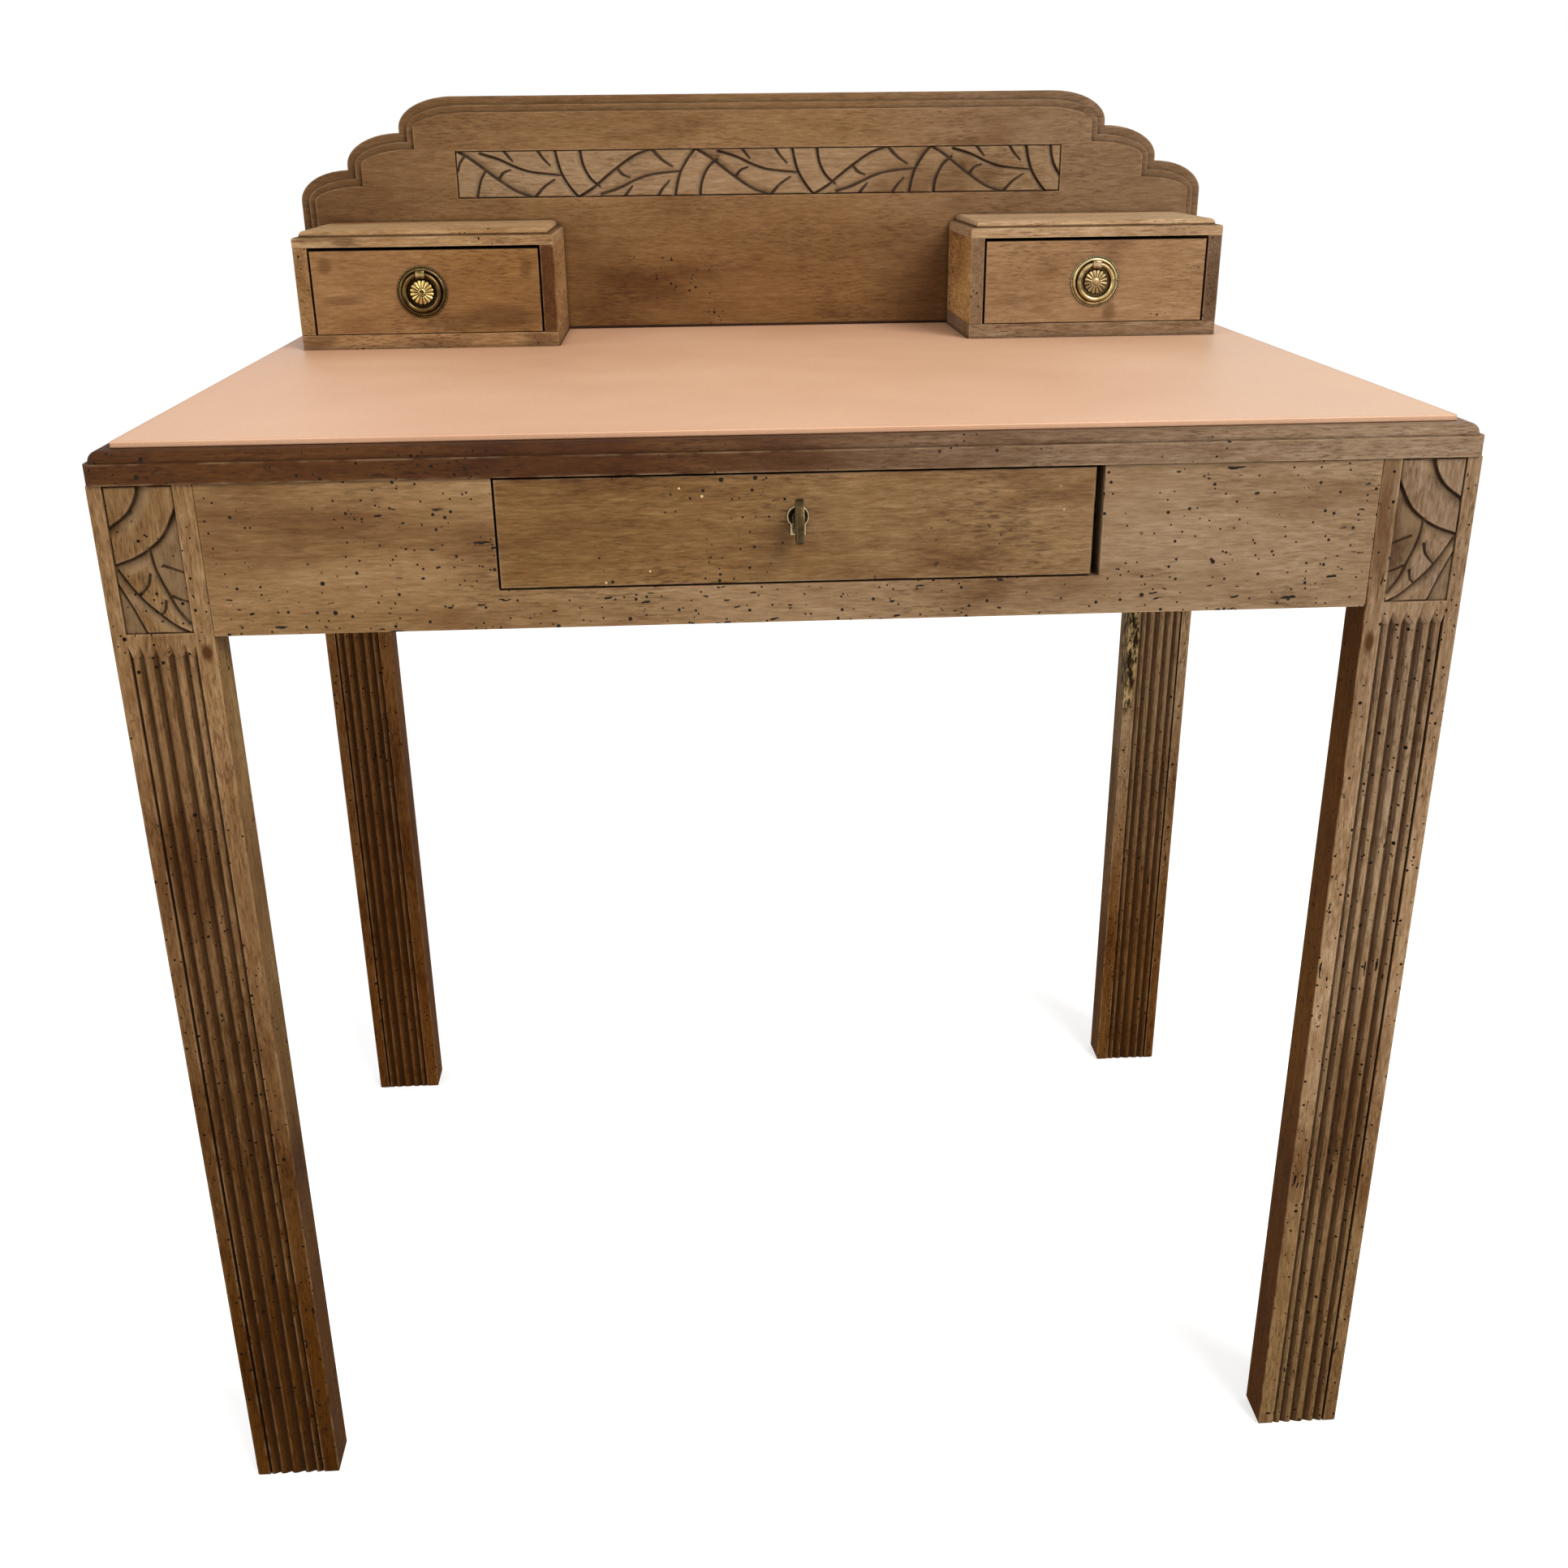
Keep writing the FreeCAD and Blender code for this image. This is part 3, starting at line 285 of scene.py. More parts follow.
def bored_holes(t, board, worm, worm_low):
    """Worm holes of three sizes and short open galleries along the grain, all in clusters."""
    patch = t.noise(board.plain, 10.0, 3.0, 0.6)
    if worm_low:
        axis, low, high, gain = worm_low
        patch = t.math("ADD", patch, t.span(t.along(axis), low, high, 0.0, gain))
    more = 0.2 * worm
    holes = t.span(t.spots(board.plain, 58.0), 0.084, 0.070)
    for scale, size in ((118.0, 0.128), (185.0, 0.138)):
        holes = t.math("MAXIMUM", holes, t.span(t.spots(board.plain, scale), size, 0.75 * size))
    bored = t.times(holes, t.span(patch, 0.57 - more, 0.60 - more))
    crooked = t.times(t.noise(board.plain, 90.0, 2.0), 0.006)
    bend = t.node("CombineXYZ", {axis: crooked for axis in "XYZ"}).outputs[0]
    for scale, stretch, size, start in ((112.0, 0.17, 0.104, 0.68), (190.0, 0.30, 0.135, 0.73)):
        long_way = tuple(stretch if axis == board.grain else 1 for axis in "XYZ")
        laid = t.place(long_way, (board.seed, board.seed * 0.4, board.seed * 0.9))
        path = t.node("VectorMath", {0: laid, 1: bend}).outputs[0]
        gallery = t.span(t.spots(path, scale), size, 0.77 * size)
        gallery = t.times(gallery, t.span(patch, start - more, start + 0.04 - more))
        bored = t.math("MAXIMUM", bored, gallery)
    return bored


def stopped_holes(t, colour, board):
    """A few old holes that were filled with a pale stopping."""
    pale = t.span(t.spots(t.place((1, 1, 1), (7.3, 1.9, 4.1)), 62.0), 0.060, 0.045)
    pale = t.times(pale, t.span(t.noise(board.plain, 9.0, 2.0), 0.48, 0.56))
    return t.mix(pale, colour, STOPPING)


def wood(name, grain, seed, tint=PLAIN, fades=(), knots=(), eaten=None, reeds=None, carved=False, worm=0.5,
         worm_low=None, filled=False, calm=0.85, gloss=0.13):
    """Old waxed wood: figure and fibres along the grain, stains, dark wax with painted shade, pale arrises
    with a painted highlight, and worm holes.

    worm says how far the worm holes spread, worm_low where there are more of them, and calm how strong
    the figure is.
    """
    t = Tree(name)
    board = Board(t, grain, seed)
    colour = t.tinted(bare_colour(t, board, calm), tint)
    for fade in fades:
        colour = faded(t, colour, board, *fade)
    for place, size, strength in knots:
        away = t.away(place, size, board.streak)
        colour = t.mix(t.span(away, 1.0, 0.45, 0.0, strength), colour, KNOT)
    if eaten:
        colour = crumbled(t, colour, board, *eaten)
    colour = worn_waxed_lit_and_shaded(t, colour, board, reeds)
    if carved:
        # Carved lines: dark wax in the cuts, and painted shade in them and on their long slopes
        line = t.times(t.dark_lines(), t.span(board.streak, 0.30, 0.55, 0.86, 1.0))
        colour = t.mix(t.times(line, 0.95), colour, LINE_WAX_AND_SHADE)
    bored = bored_holes(t, board, worm, worm_low)
    colour = t.mix(bored, colour, HOLE)
    if filled:
        colour = stopped_holes(t, colour, board)
    height = t.total((board.fibre, 0.45), (board.pores, -0.45), (board.streak, 0.35), (bored, -2.0))
    rough = t.span(t.total((board.fibre, 1.0), (board.blotch, 0.6)), 0.5, 1.1, 0.60, 0.80)
    return t.finish(colour, rough, height, 0.0006, 0.55, Specular_IOR_Level=gloss)


# Other materials

SALMON = ((0.3, (0.650, 0.365, 0.214)), (0.55, (0.705, 0.415, 0.250)), (0.75, (0.740, 0.455, 0.285)))
SALMON_PIT, SALMON_SCUFF, SALMON_PAINTED_LIGHT = (0.50, 0.26, 0.15), (0.80, 0.56, 0.40), (0.99, 1.09, 1.16)
SALMON_EDGE_WEAR_AND_SHADE, SALMON_CORNER_SHADE = (0.40, 0.20, 0.11), (0.17, 0.075, 0.035)
LINING = ((0.2, (0.20, 0.125, 0.068)), (0.5, (0.32, 0.215, 0.125)), (0.8, (0.41, 0.29, 0.18)))
LINING_DUST, LINING_CORNER_SHADE = (0.16, 0.105, 0.062), (0.07, 0.042, 0.022)


def leathercloth():
    """Salmon leathercloth: a fine pressed grain, faint clouding, painted light paler and cooler to the right,
    a worn rim with painted shade, and painted shade in the corners.
    """
    t = Tree("salmon_leathercloth")
    here = t.place()
    cloud = t.noise(here, 5.0, 3.0, 0.55)
    fine = t.noise(here, 420.0, 2.0, 0.6)
    grain = t.spots(here, 900.0)
    colour = t.ramp(cloud, SALMON)
    colour = t.mix(t.span(fine, 0.3, 0.75, 0.0, 0.22), colour, SALMON_PIT)
    scuff = t.span(t.noise(t.place((3, 22, 10), (0.4, 0.2, 0)), 6.0, 4.0, 0.65), 0.62, 0.74)
    colour = t.mix(t.times(scuff, 0.16), colour, SALMON_SCUFF)
    # Painted light: paler and cooler towards the right
    painted_light_share = t.span(t.along("X"), 0.05, 0.40, smooth=True)
    colour = t.mix(painted_light_share, colour, t.tinted(colour, SALMON_PAINTED_LIGHT))
    # A worn edge with painted shade on the rim
    edge = t.span(t.hollow(0.004, inside=True), 0.85, 0.35)
    colour = t.mix(t.times(edge, 0.35), colour, SALMON_EDGE_WEAR_AND_SHADE)
    # Painted shade in the corners where the sheet meets other parts
    corner_shade = t.span(t.hollow(0.012), 0.85, 0.40)
    colour = t.mix(t.times(corner_shade, 0.55), colour, SALMON_CORNER_SHADE)
    rough = t.span(cloud, 0.3, 0.7, 0.42, 0.56)
    height = t.total((grain, 0.7), (fine, 0.5))
    return t.finish(colour, rough, height, 0.00025, 0.35, Specular_IOR_Level=0.40)


def metal(name, base, tarnish, worn_and_lit, rough, spread, reach=0.004, patina_and_shade_strength=1.0):
    """Cast metal: a base colour, tarnish in hollows and clouds with painted shade, and bright worn edges with
    a painted highlight.
    """
    t = Tree(name)
    here = t.place()
    cloud = t.noise(here, 170.0, 3.0, 0.6)
    grit = t.noise(here, 1100.0, 2.0, 0.6)
    colour = t.mix(t.span(cloud, 0.42, 0.70), base, tarnish)
    # Bright edges: wear, and a painted highlight
    edge = t.span(t.hollow(0.0012, inside=True), 0.80, 0.35)
    colour = t.mix(t.times(edge, 0.75), colour, worn_and_lit)
    # Tarnish in the hollows, and painted shade where another piece lies close in front
    deep = t.span(t.hollow(reach), 0.88, 0.30)
    colour = t.mix(t.times(deep, 0.95), colour, tuple(0.22 * c for c in tarnish))
    # Dark tarnish and painted shade that the pieces' points carry
    line = t.times(t.dark_lines(), t.span(cloud, 0.25, 0.60, 0.80 * patina_and_shade_strength, 0.97 * patina_and_shade_strength))
    colour = t.mix(line, colour, tuple(0.30 * c for c in tarnish))
    roughness = t.span(t.total((cloud, 1.0), (grit, 0.4)), 0.45, 0.95, rough, rough + spread)
    return t.finish(colour, roughness, grit, 0.00012, 0.30, Metallic=1.0)


def drawer_linings():
    """Bare, dusty wood of the drawers' insides, runners and blocks, with painted shade in the corners."""
    t = Tree("drawer_lining_wood")
    laid = t.place((12, 1.2, 12), (0.31, 0.12, 0.77))
    figure = t.noise(laid, 2.2, 2.0, 0.5, 0.6)
    fibre = t.noise(laid, 50.0, 3.0, 0.6)
    dust = t.noise(t.place(), 14.0, 4.0, 0.6)
    colour = t.ramp(t.total((figure, 0.6), (fibre, 0.4)), LINING)
    colour = t.mix(t.span(dust, 0.45, 0.75, 0.0, 0.45), colour, LINING_DUST)
    # Painted shade in the corners
    deep = t.span(t.hollow(0.012), 0.85, 0.35)
    colour = t.mix(t.times(deep, 0.6), colour, LINING_CORNER_SHADE)
    rough = t.span(fibre, 0.3, 0.7, 0.68, 0.84)
    return t.finish(colour, rough, fibre, 0.0005, 0.5, Specular_IOR_Level=0.25)


# New pieces

def add_piece(name, points, faces, material, body, wax=None):
    """A closed mesh that rides a body, with the share of dark wax or tarnish and of painted shade at each
    point.
    """
    mesh = bpy.data.meshes.new(name)
    mesh.from_pydata([tuple(p) for p in points], [], [tuple(f) for f in faces])
    mesh.polygons.foreach_set("use_smooth", [True] * len(mesh.polygons))
    mesh.materials.append(material)
    if wax is not None:
        mesh.attributes.new("wax", "FLOAT", "POINT").data.foreach_set("value", np.array(wax, np.float32))
    obj = bpy.data.objects.new(name, mesh)
    bpy.context.scene.collection.objects.link(obj)
    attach(obj, body)
    return obj


def tube_faces(loops, turns):
    """The faces of a closed tube: each loop of points is joined to the next, and the last to the first."""
    faces = []
    for loop in range(loops):
        a, b = loop * turns, (loop + 1) % loops * turns
        faces += [(a + k, a + (k + 1) % turns, b + (k + 1) % turns, b + k) for k in range(turns)]
    return faces


def in_metres(points):
    return [tuple(MM * c for c in point) for point in points]


def smooth_line(points, step):
    """A smooth curve through three or more points, as points about a step apart."""
    p = np.array(points, float)
    ends = np.vstack([2 * p[0] - p[1], p, 2 * p[-1] - p[-2]])
    pieces = []
    for a, b, c, d in zip(ends, ends[1:], ends[2:], ends[3:]):
        count = max(2, int(np.linalg.norm(c - b) / step))
        s = np.linspace(0, 1, count, endpoint=False)[:, None]
        pieces.append(0.5 * (2 * b + (c - a) * s + (2 * a - 5 * b + 4 * c - d) * s ** 2
                             + (3 * b - a - 3 * c + d) * s ** 3))
    return np.vstack(pieces + [p[-1:]])


# How far the carved surface and the back of a slab lie behind the face round its recess, in millimetres
SLAB_FACE, SLAB_BACK = 0.4, 2.38
PATH_STEP = 0.35


class Carving:
    """A sunk panel of carved lines, worked out on a grid in millimetres, u to the right and v down."""

    def __init__(self, width, height, step):
        self.u = np.linspace(0, width, int(round(width / step)) + 1)
        self.v = np.linspace(0, height, int(round(height / step)) + 1)
        self.U, self.V = np.meshgrid(self.u, self.v)
        self.cut = np.zeros_like(self.U)
        self.wax = np.zeros_like(self.U)

    def deepen(self, inside, cut, wax):
        self.cut[inside] = np.maximum(self.cut[inside], cut)
        self.wax[inside] = np.maximum(self.wax[inside], wax)

    def line(self, points, depth, narrow, wide, side=1, taper=1.0, ink=0.8, shade=0.62):
        """A cut along a curve: steep on one side, a long slope on the other; it may thin out to its end.

        ink is the width of its dark core of wax and painted shade, and shade says how dark the painted shade
        on the slopes is.
        """
        path = smooth_line(points, PATH_STEP)
        reach = max(narrow, wide) + 0.5
        inside = ((self.U > path[:, 0].min() - reach) & (self.U < path[:, 0].max() + reach)
                  & (self.V > path[:, 1].min() - reach) & (self.V < path[:, 1].max() + reach))
        if not inside.any():
            return
        spots = np.stack([self.U[inside], self.V[inside]], axis=1)
        along = np.gradient(path, axis=0)
        best = np.full(len(spots), np.inf)
        near = np.zeros(len(spots), int)
        for index, point in enumerate(path):
            gap = ((spots - point) ** 2).sum(axis=1)
            closer = gap < best
            best[closer] = gap[closer]
            near[closer] = index
        away = np.sqrt(best)
        offset = spots - path[near]
        left = along[near, 0] * offset[:, 1] - along[near, 1] * offset[:, 0]
        width = np.where(left * side > 0, wide, narrow)
        share = 1 + (taper - 1) * near / max(1, len(path) - 1)
        cut = depth * share * np.clip(1 - away / width, 0, 1) ** 1.25
        core = np.clip(1.9 - away / (ink * (0.35 + 0.65 * share)), 0, 1)
        # Painted shade on the long slope beside the cut
        slope = shade * np.clip(1 - away / width, 0, 1) ** 1.3
        self.deepen(inside, cut, np.maximum(core, slope))

    def sink(self, outline, depth, dark):
        """The ground inside a closed outline, lower than the leaf and darker."""
        ends = outline[1:] + outline[:1]
        inside = np.zeros(self.U.shape, bool)
        for (u0, v0), (u1, v1) in zip(outline, ends):
            if v0 != v1:
                crossed = (v0 > self.V) != (v1 > self.V)
                inside ^= crossed & (self.U < u0 + (u1 - u0) * (self.V - v0) / (v1 - v0))
        self.deepen(inside, depth, dark)

    def border(self, width, depth):
        """A chamfer round the panel, with painted shade along its rim."""
        edge = np.minimum(np.minimum(self.U, self.u[-1] - self.U), np.minimum(self.V, self.v[-1] - self.V))
        share = np.clip(1 - edge / width, 0, 1)
        self.cut = np.maximum(self.cut, depth * share)
        self.wax = np.maximum(self.wax, 0.75 * np.clip(1.1 - edge / (0.55 * width), 0, 1))

    def piece(self, name, left, top, face, material, mirrored=False):
        """The closed slab that fills a recess in a face, with its left and top edges in millimetres."""
        rows, columns = self.U.shape
        x = MM * (left + (self.u[-1] - self.U if mirrored else self.U))
        y = face + MM * (SLAB_FACE + self.cut)
        z = MM * (top - self.V)
        front = np.stack([x, y, z], axis=-1).reshape(-1, 3)
        index = np.arange(rows * columns).reshape(rows, columns)
        rim = np.concatenate([index[0, :-1], index[:-1, -1], index[-1, :0:-1], index[:0:-1, 0]])
        back = front[rim].copy()
        back[:, 1] = face + MM * SLAB_BACK
        base = rows * columns
        count = len(rim)
        quads = np.stack([index[:-1, :-1], index[1:, :-1], index[1:, 1:], index[:-1, 1:]], axis=-1)
        faces = quads.reshape(-1, 4).tolist()
        carved = len(faces)
        for k in range(count):
            n = (k + 1) % count
            faces.append([rim[k], rim[n], base + n, base + k])
        faces.append([base + k for k in range(count)])
        if mirrored:
            faces = [f[::-1] for f in faces]
        values = np.concatenate([self.wax.reshape(-1), np.zeros(count)])
        obj = add_piece(name, np.vstack([front, back]), faces, material, "frame", values)
        smooth = np.arange(len(faces)) < carved
        obj.data.polygons.foreach_set("use_smooth", smooth)


# Leaf frieze: one leaf in millimetres from its left end and from the top; every other leaf is turned over
FRIEZE = (506.0, 37.0)
FRIEZE_LEFT, FRIEZE_TOP = -249.0, 891.6
LEAVES, LEAF_PITCH = 5, 98.5
LEAF_STEM = ((1.3, 0.0), (12.9, 6.7), (24.4, 15.4), (35.0, 23.1), (48.5, 31.7), (61.9, 36.6))
LEAF_RIB = ((20.6, 2.3), (35.0, 6.7), (50.4, 13.5), (63.8, 17.3), (86.9, 19.6))
LEAF_VEINS = (((39.8, 0.0), (42.7, 3.8), (46.5, 8.1)), ((67.7, 0.0), (71.5, 5.8), (77.3, 11.9)),
              ((35.0, 21.5), (38.8, 17.3), (44.6, 15.0)), ((63.8, 36.6), (71.5, 28.8), (80.2, 23.1)))
LEAF_BANDS = (((82.1, 0.0), (84.0, 9.6), (87.3, 19.6), (93.7, 29.8), (100.0, 37.0)),
              ((102.9, 0.0), (103.8, 7.7), (106.2, 15.4), (111.0, 23.1), (117.7, 28.5)))
LEAF_CUTS = {
    "stem": dict(depth=1.9, narrow=0.8, wide=5.5, taper=0.8, ink=0.95, shade=0.72),
    "rib": dict(depth=1.6, narrow=0.8, wide=4.0, taper=0.6, ink=0.95, shade=0.70),
    "vein": dict(depth=1.4, narrow=0.9, wide=2.2, taper=0.30, ink=1.1),
    "band": dict(depth=1.8, narrow=0.8, wide=5.5, taper=0.9, ink=0.92, shade=0.72),
}
# Two more lines at the left end, where no leaf comes before the first
END_VEIN = ((7.1, 4.8), (3.3, 9.6), (1.3, 15.4))
END_BAND = ((24.4, 15.4), (19.6, 23.1), (15.8, 36.0))


def frieze(material):
    carving = Carving(*FRIEZE, step=0.5)
    for number in range(LEAVES):
        over = number % 2 == 1
        flip = -1 if over else 1

        def laid(points):
            return [(number * LEAF_PITCH + u, FRIEZE[1] - v if over else v) for u, v in points]

        carving.line(laid(LEAF_STEM), side=-flip, **LEAF_CUTS["stem"])
        carving.line(laid(LEAF_RIB), side=flip, **LEAF_CUTS["rib"])
        for vein in LEAF_VEINS:
            carving.line(laid(vein), side=flip, **LEAF_CUTS["vein"])
        for band in LEAF_BANDS:
            carving.line(laid(band), side=flip, **LEAF_CUTS["band"])
    carving.line(END_VEIN, depth=1.4, narrow=0.8, wide=2.4)
    carving.line(END_BAND, depth=1.7, narrow=0.8, wide=4.5)
    carving.border(width=1.5, depth=1.5)
    carving.piece("frieze_leaves", FRIEZE_LEFT, FRIEZE_TOP, BOARD_FACE, material)


# Leaf panel at the head of a front leg, from the outer edge and the top
PANEL = (39.0, 86.8)
PANEL_OUTER, PANEL_GAP = 391.3, 0.1
PANEL_ARCS = (((19.4, 0.0), (18.6, 5.0), (15.6, 11.2), (10.4, 17.6), (0.6, 24.6)),
              ((39.0, 13.2), (36.5, 18.4), (30.0, 29.2), (21.3, 36.7), (12.0, 42.0), (0.8, 45.9)))
PANEL_STEM = ((21.1, 37.5), (22.8, 49.2), (27.5, 62.5), (31.6, 72.6), (37.0, 80.6))
PANEL_EDGE = ((1.6, 48.6), (11.5, 64.3), (22.4, 76.0), (30.0, 82.6), (36.7, 86.4))
PANEL_LINE = ((0.6, 57.5), (6.5, 70.9), (12.4, 86.4))
PANEL_VEINS = (((19.1, 51.7), (17.4, 57.5), (12.0, 63.5)), ((25.7, 67.6), (24.6, 72.6), (22.4, 75.1)),
               ((27.5, 46.6), (33.3, 48.8), (38.3, 50.8)), ((30.0, 64.7), (34.2, 66.7), (39.0, 68.3)))
# The ground beside the stem and in the lower outer corner
PANEL_GROUNDS = (((21.3, 36.9), (30.0, 29.4), (36.5, 18.6), (39.0, 13.6), (39.0, 80.0), (37.0, 80.6),
                  (31.6, 72.6), (27.5, 62.5), (22.8, 49.2)),
                 ((0.0, 56.5), (0.6, 57.5), (6.5, 70.9), (12.4, 86.8), (0.0, 86.8)))


def leg_panel(side, material):
    carving = Carving(*PANEL, step=0.4)
    for outline in PANEL_GROUNDS:
        carving.sink(outline, depth=1.0, dark=0.46)
    for arc in PANEL_ARCS:
        carving.line(arc, depth=1.9, narrow=0.8, wide=8.5, side=-1, ink=0.72, shade=0.88)
    carving.line(PANEL_STEM, depth=1.9, narrow=1.0, wide=5.0, taper=1.15, ink=0.82, shade=0.88)
    carving.line(PANEL_EDGE, depth=1.8, narrow=0.8, wide=6.5, ink=0.74, shade=0.90)
    carving.line(PANEL_LINE, depth=1.5, narrow=0.7, wide=5.0, ink=0.62, shade=0.84)
    for vein in PANEL_VEINS:
        carving.line(vein, depth=1.4, narrow=0.9, wide=3.0, taper=0.35, ink=0.85, shade=0.8)
    carving.border(width=1.4, depth=1.4)
    mirrored = side == "right"
    left = PANEL_OUTER - PANEL[0] if mirrored else -PANEL_OUTER
    carving.piece("leg_leaves_" + side, left, LEG_TOP / MM - PANEL_GAP, FRONT, material, mirrored)


# Ring pulls, in millimetres

PETALS, DAISY_RADIUS, DAISY_BACK, DAISY_BASE = 16, 9.8, 0.9, 1.4
DAISY_RINGS, PETAL_POINTS = 52, 14
DOME_RISE, PETAL_RISE, BOSS_RISE, HOLE_DROP, RIM_DROP = 2.5, 1.0, 0.8, 1.4, 1.6
# Shares of the daisy's radius: the hole in a pierced boss, the boss, the groove round it and the rim
HOLE_SHARE, BOSS_SHARE, GROOVE_SHARES, RIM_SHARE = 0.19, 0.30, (0.26, 0.36), 0.93
BEADS, PLATE_RADIUS, DISH_RADIUS, DARK_RADIUS = 72, 19.6, 14.0, 14.8
PLATE_RINGS, BEAD_POINTS = 84, 8
PLATE_THICKNESS, DISH_RISE, MOULDING_RISE = 1.0, 0.25, 1.5
# Inner and outer edge, middle and half width of the plate's round moulding, and the last two of its beads
MOULDING_INNER, MOULDING_OUTER, MOULDING_MIDDLE, MOULDING_HALF = 15.0, 18.2, 16.6, 1.6
BEAD_MIDDLE, BEAD_HALF = 18.92, 0.70
# The ring to the middle of its wire, the wire's radius, and how far it hangs in front of the drawer
RING_RADIUS, RING_WIRE, RING_OUT = 13.4, 1.8, 4.3
# Half depth and half height of the eye, its bore, and its half length with and without the rounded ends
EYE_DEPTH, EYE_HEIGHT, EYE_BORE, EYE_LENGTH, EYE_FLAT = 3.1, 3.3, 2.42, 3.5, 3.1
EYE_END_SHARE = 0.88


def polar_solid(name, centre, rings, turns, shape, back, material, body):
    """A closed round piece on a drawer front.

    shape gives the radius, height and tarnish for a share of the way out and an angle.
    """
    angles = [2 * math.pi * k / turns for k in range(turns)]

    def spot(radius, height, angle):
        return (centre[0] + radius * math.cos(angle), centre[1] - height,
                centre[2] + radius * math.sin(angle))

    points, wax = [], []
    for number in range(1, rings + 1):
        for angle in angles:
            radius, height, dark = shape(number / rings, angle)
            points.append(spot(radius, height, angle))
            wax.append(dark)
    hub, rear = len(points), len(points) + 1
    _, hub_height, hub_dark = shape(0.0, 0.0)
    points.append(spot(0.0, hub_height, 0.0))
    points += [spot(shape(1.0, angle)[0], back, angle) for angle in angles]
    wax += [hub_dark] + [0.0] * turns
    faces = []
    for k in range(turns):
        n = (k + 1) % turns
        faces.append((k, n, hub))
        for a in range(0, (rings - 1) * turns, turns):
            faces.append((a + k, a + n, a + turns + n, a + turns + k))
        last = (rings - 1) * turns
        faces.append((last + k, last + n, rear + n, rear + k))
    faces.append(tuple(rear + k for k in reversed(range(turns))))
    return add_piece(name, in_metres(points), faces, material, body, wax)


def daisy_shape(share, angle, pierced):
    """A daisy: a dimpled boss with a ring of rounded petals parted by dark grooves."""
    phase = (angle * PETALS / (2 * math.pi)) % 1 - 0.5
    lobe = max(0.0, math.cos(math.pi * phase))
    radius = DAISY_RADIUS * share * (1 - 0.08 * (1 - lobe ** 0.6) * min(1, share * 1.2))
    petal = min(1.0, max(0.0, (share - BOSS_SHARE) / 0.10))
    height = DOME_RISE * math.sqrt(max(0.0, 1 - (0.84 * share) ** 2)) + 0.6
    height += petal * (PETAL_RISE * lobe ** 0.5 - 0.8)
    dark = 0.9 * petal * max(0.0, 1 - 2.6 * lobe)
    if share < BOSS_SHARE:
        height += BOSS_RISE * math.sqrt(max(0.0, 1 - (share / BOSS_SHARE) ** 2)) - 0.2
    if GROOVE_SHARES[0] < share < GROOVE_SHARES[1]:
        dark = max(dark, 0.8)
    if pierced and share < HOLE_SHARE:
        height -= HOLE_DROP * (1 - (share / HOLE_SHARE) ** 2)
        dark = 1.0
    if share > RIM_SHARE:
        rim = (share - RIM_SHARE) / (1 - RIM_SHARE)
        height -= RIM_DROP * rim
        dark = max(dark, 0.7 * rim)
    return radius, DAISY_BASE + height, dark


def plate_shape(share, angle):
    """A dished plate with a round moulding and a fine beaded rim; the dish is dark, and painted shade darkens
    the grooves between the beads.
    """
    radius = PLATE_RADIUS * share
    height = PLATE_THICKNESS - DISH_RISE * math.cos(math.pi * min(1.0, radius / DISH_RADIUS))
    dark = 0.85 if radius < DARK_RADIUS else 0.0
    if MOULDING_INNER < radius < MOULDING_OUTER:
        out = (radius - MOULDING_MIDDLE) / MOULDING_HALF
        height += MOULDING_RISE * math.sqrt(max(0.0, 1 - out ** 2))
    if radius >= MOULDING_OUTER:
        rise = math.sqrt(max(0.0, 1 - ((radius - BEAD_MIDDLE) / BEAD_HALF) ** 2))
        bead = abs(math.sin(angle * BEADS / 2))
        height = 0.5 + rise * (0.2 + 0.9 * bead)
        dark = 0.95 * max(1 - rise * 1.3, 1 - 1.2 * bead, 0.42)
    return radius, height, dark


def hoop(name, centre, material, body):
    """The ring that hangs in the eye."""
    around, turns = 20, 112
    points = []
    for i in range(turns):
        a = 2 * math.pi * i / turns
        for j in range(around):
            b = 2 * math.pi * j / around
            r = RING_RADIUS + RING_WIRE * math.cos(b)
            points.append((centre[0] + r * math.sin(a), centre[1] + RING_WIRE * math.sin(b),
                           centre[2] + r * math.cos(a)))
    return add_piece(name, in_metres(points), tube_faces(turns, around), material, body)


def ring_eye(name, centre, material, body):
    """The eye that holds the ring: a strap with a round bore, rounded in front and on top."""
    turns = 36
    outer, inner = [], []
    for k in range(turns):
        a = 2 * math.pi * k / turns
        c, s = math.cos(a), math.sin(a)
        size = (abs(c) ** 5 + abs(s) ** 5) ** -0.2
        outer.append((EYE_DEPTH * c * size, EYE_HEIGHT * s * size))
        inner.append((EYE_BORE * c, EYE_BORE * s))
    loops = ((-EYE_LENGTH, EYE_END_SHARE, outer), (-EYE_FLAT, 1.0, outer), (EYE_FLAT, 1.0, outer),
             (EYE_LENGTH, EYE_END_SHARE, outer), (EYE_LENGTH, 1.0, inner), (-EYE_LENGTH, 1.0, inner))
    points = []
    for x, share, outline in loops:
        points += [(centre[0] + x, centre[1] + y * share, centre[2] + z * share) for y, z in outline]
    faces = [(a, d, c, b) for a, b, c, d in tube_faces(len(loops), turns)]
    return add_piece(name, in_metres(points), faces, material, body)


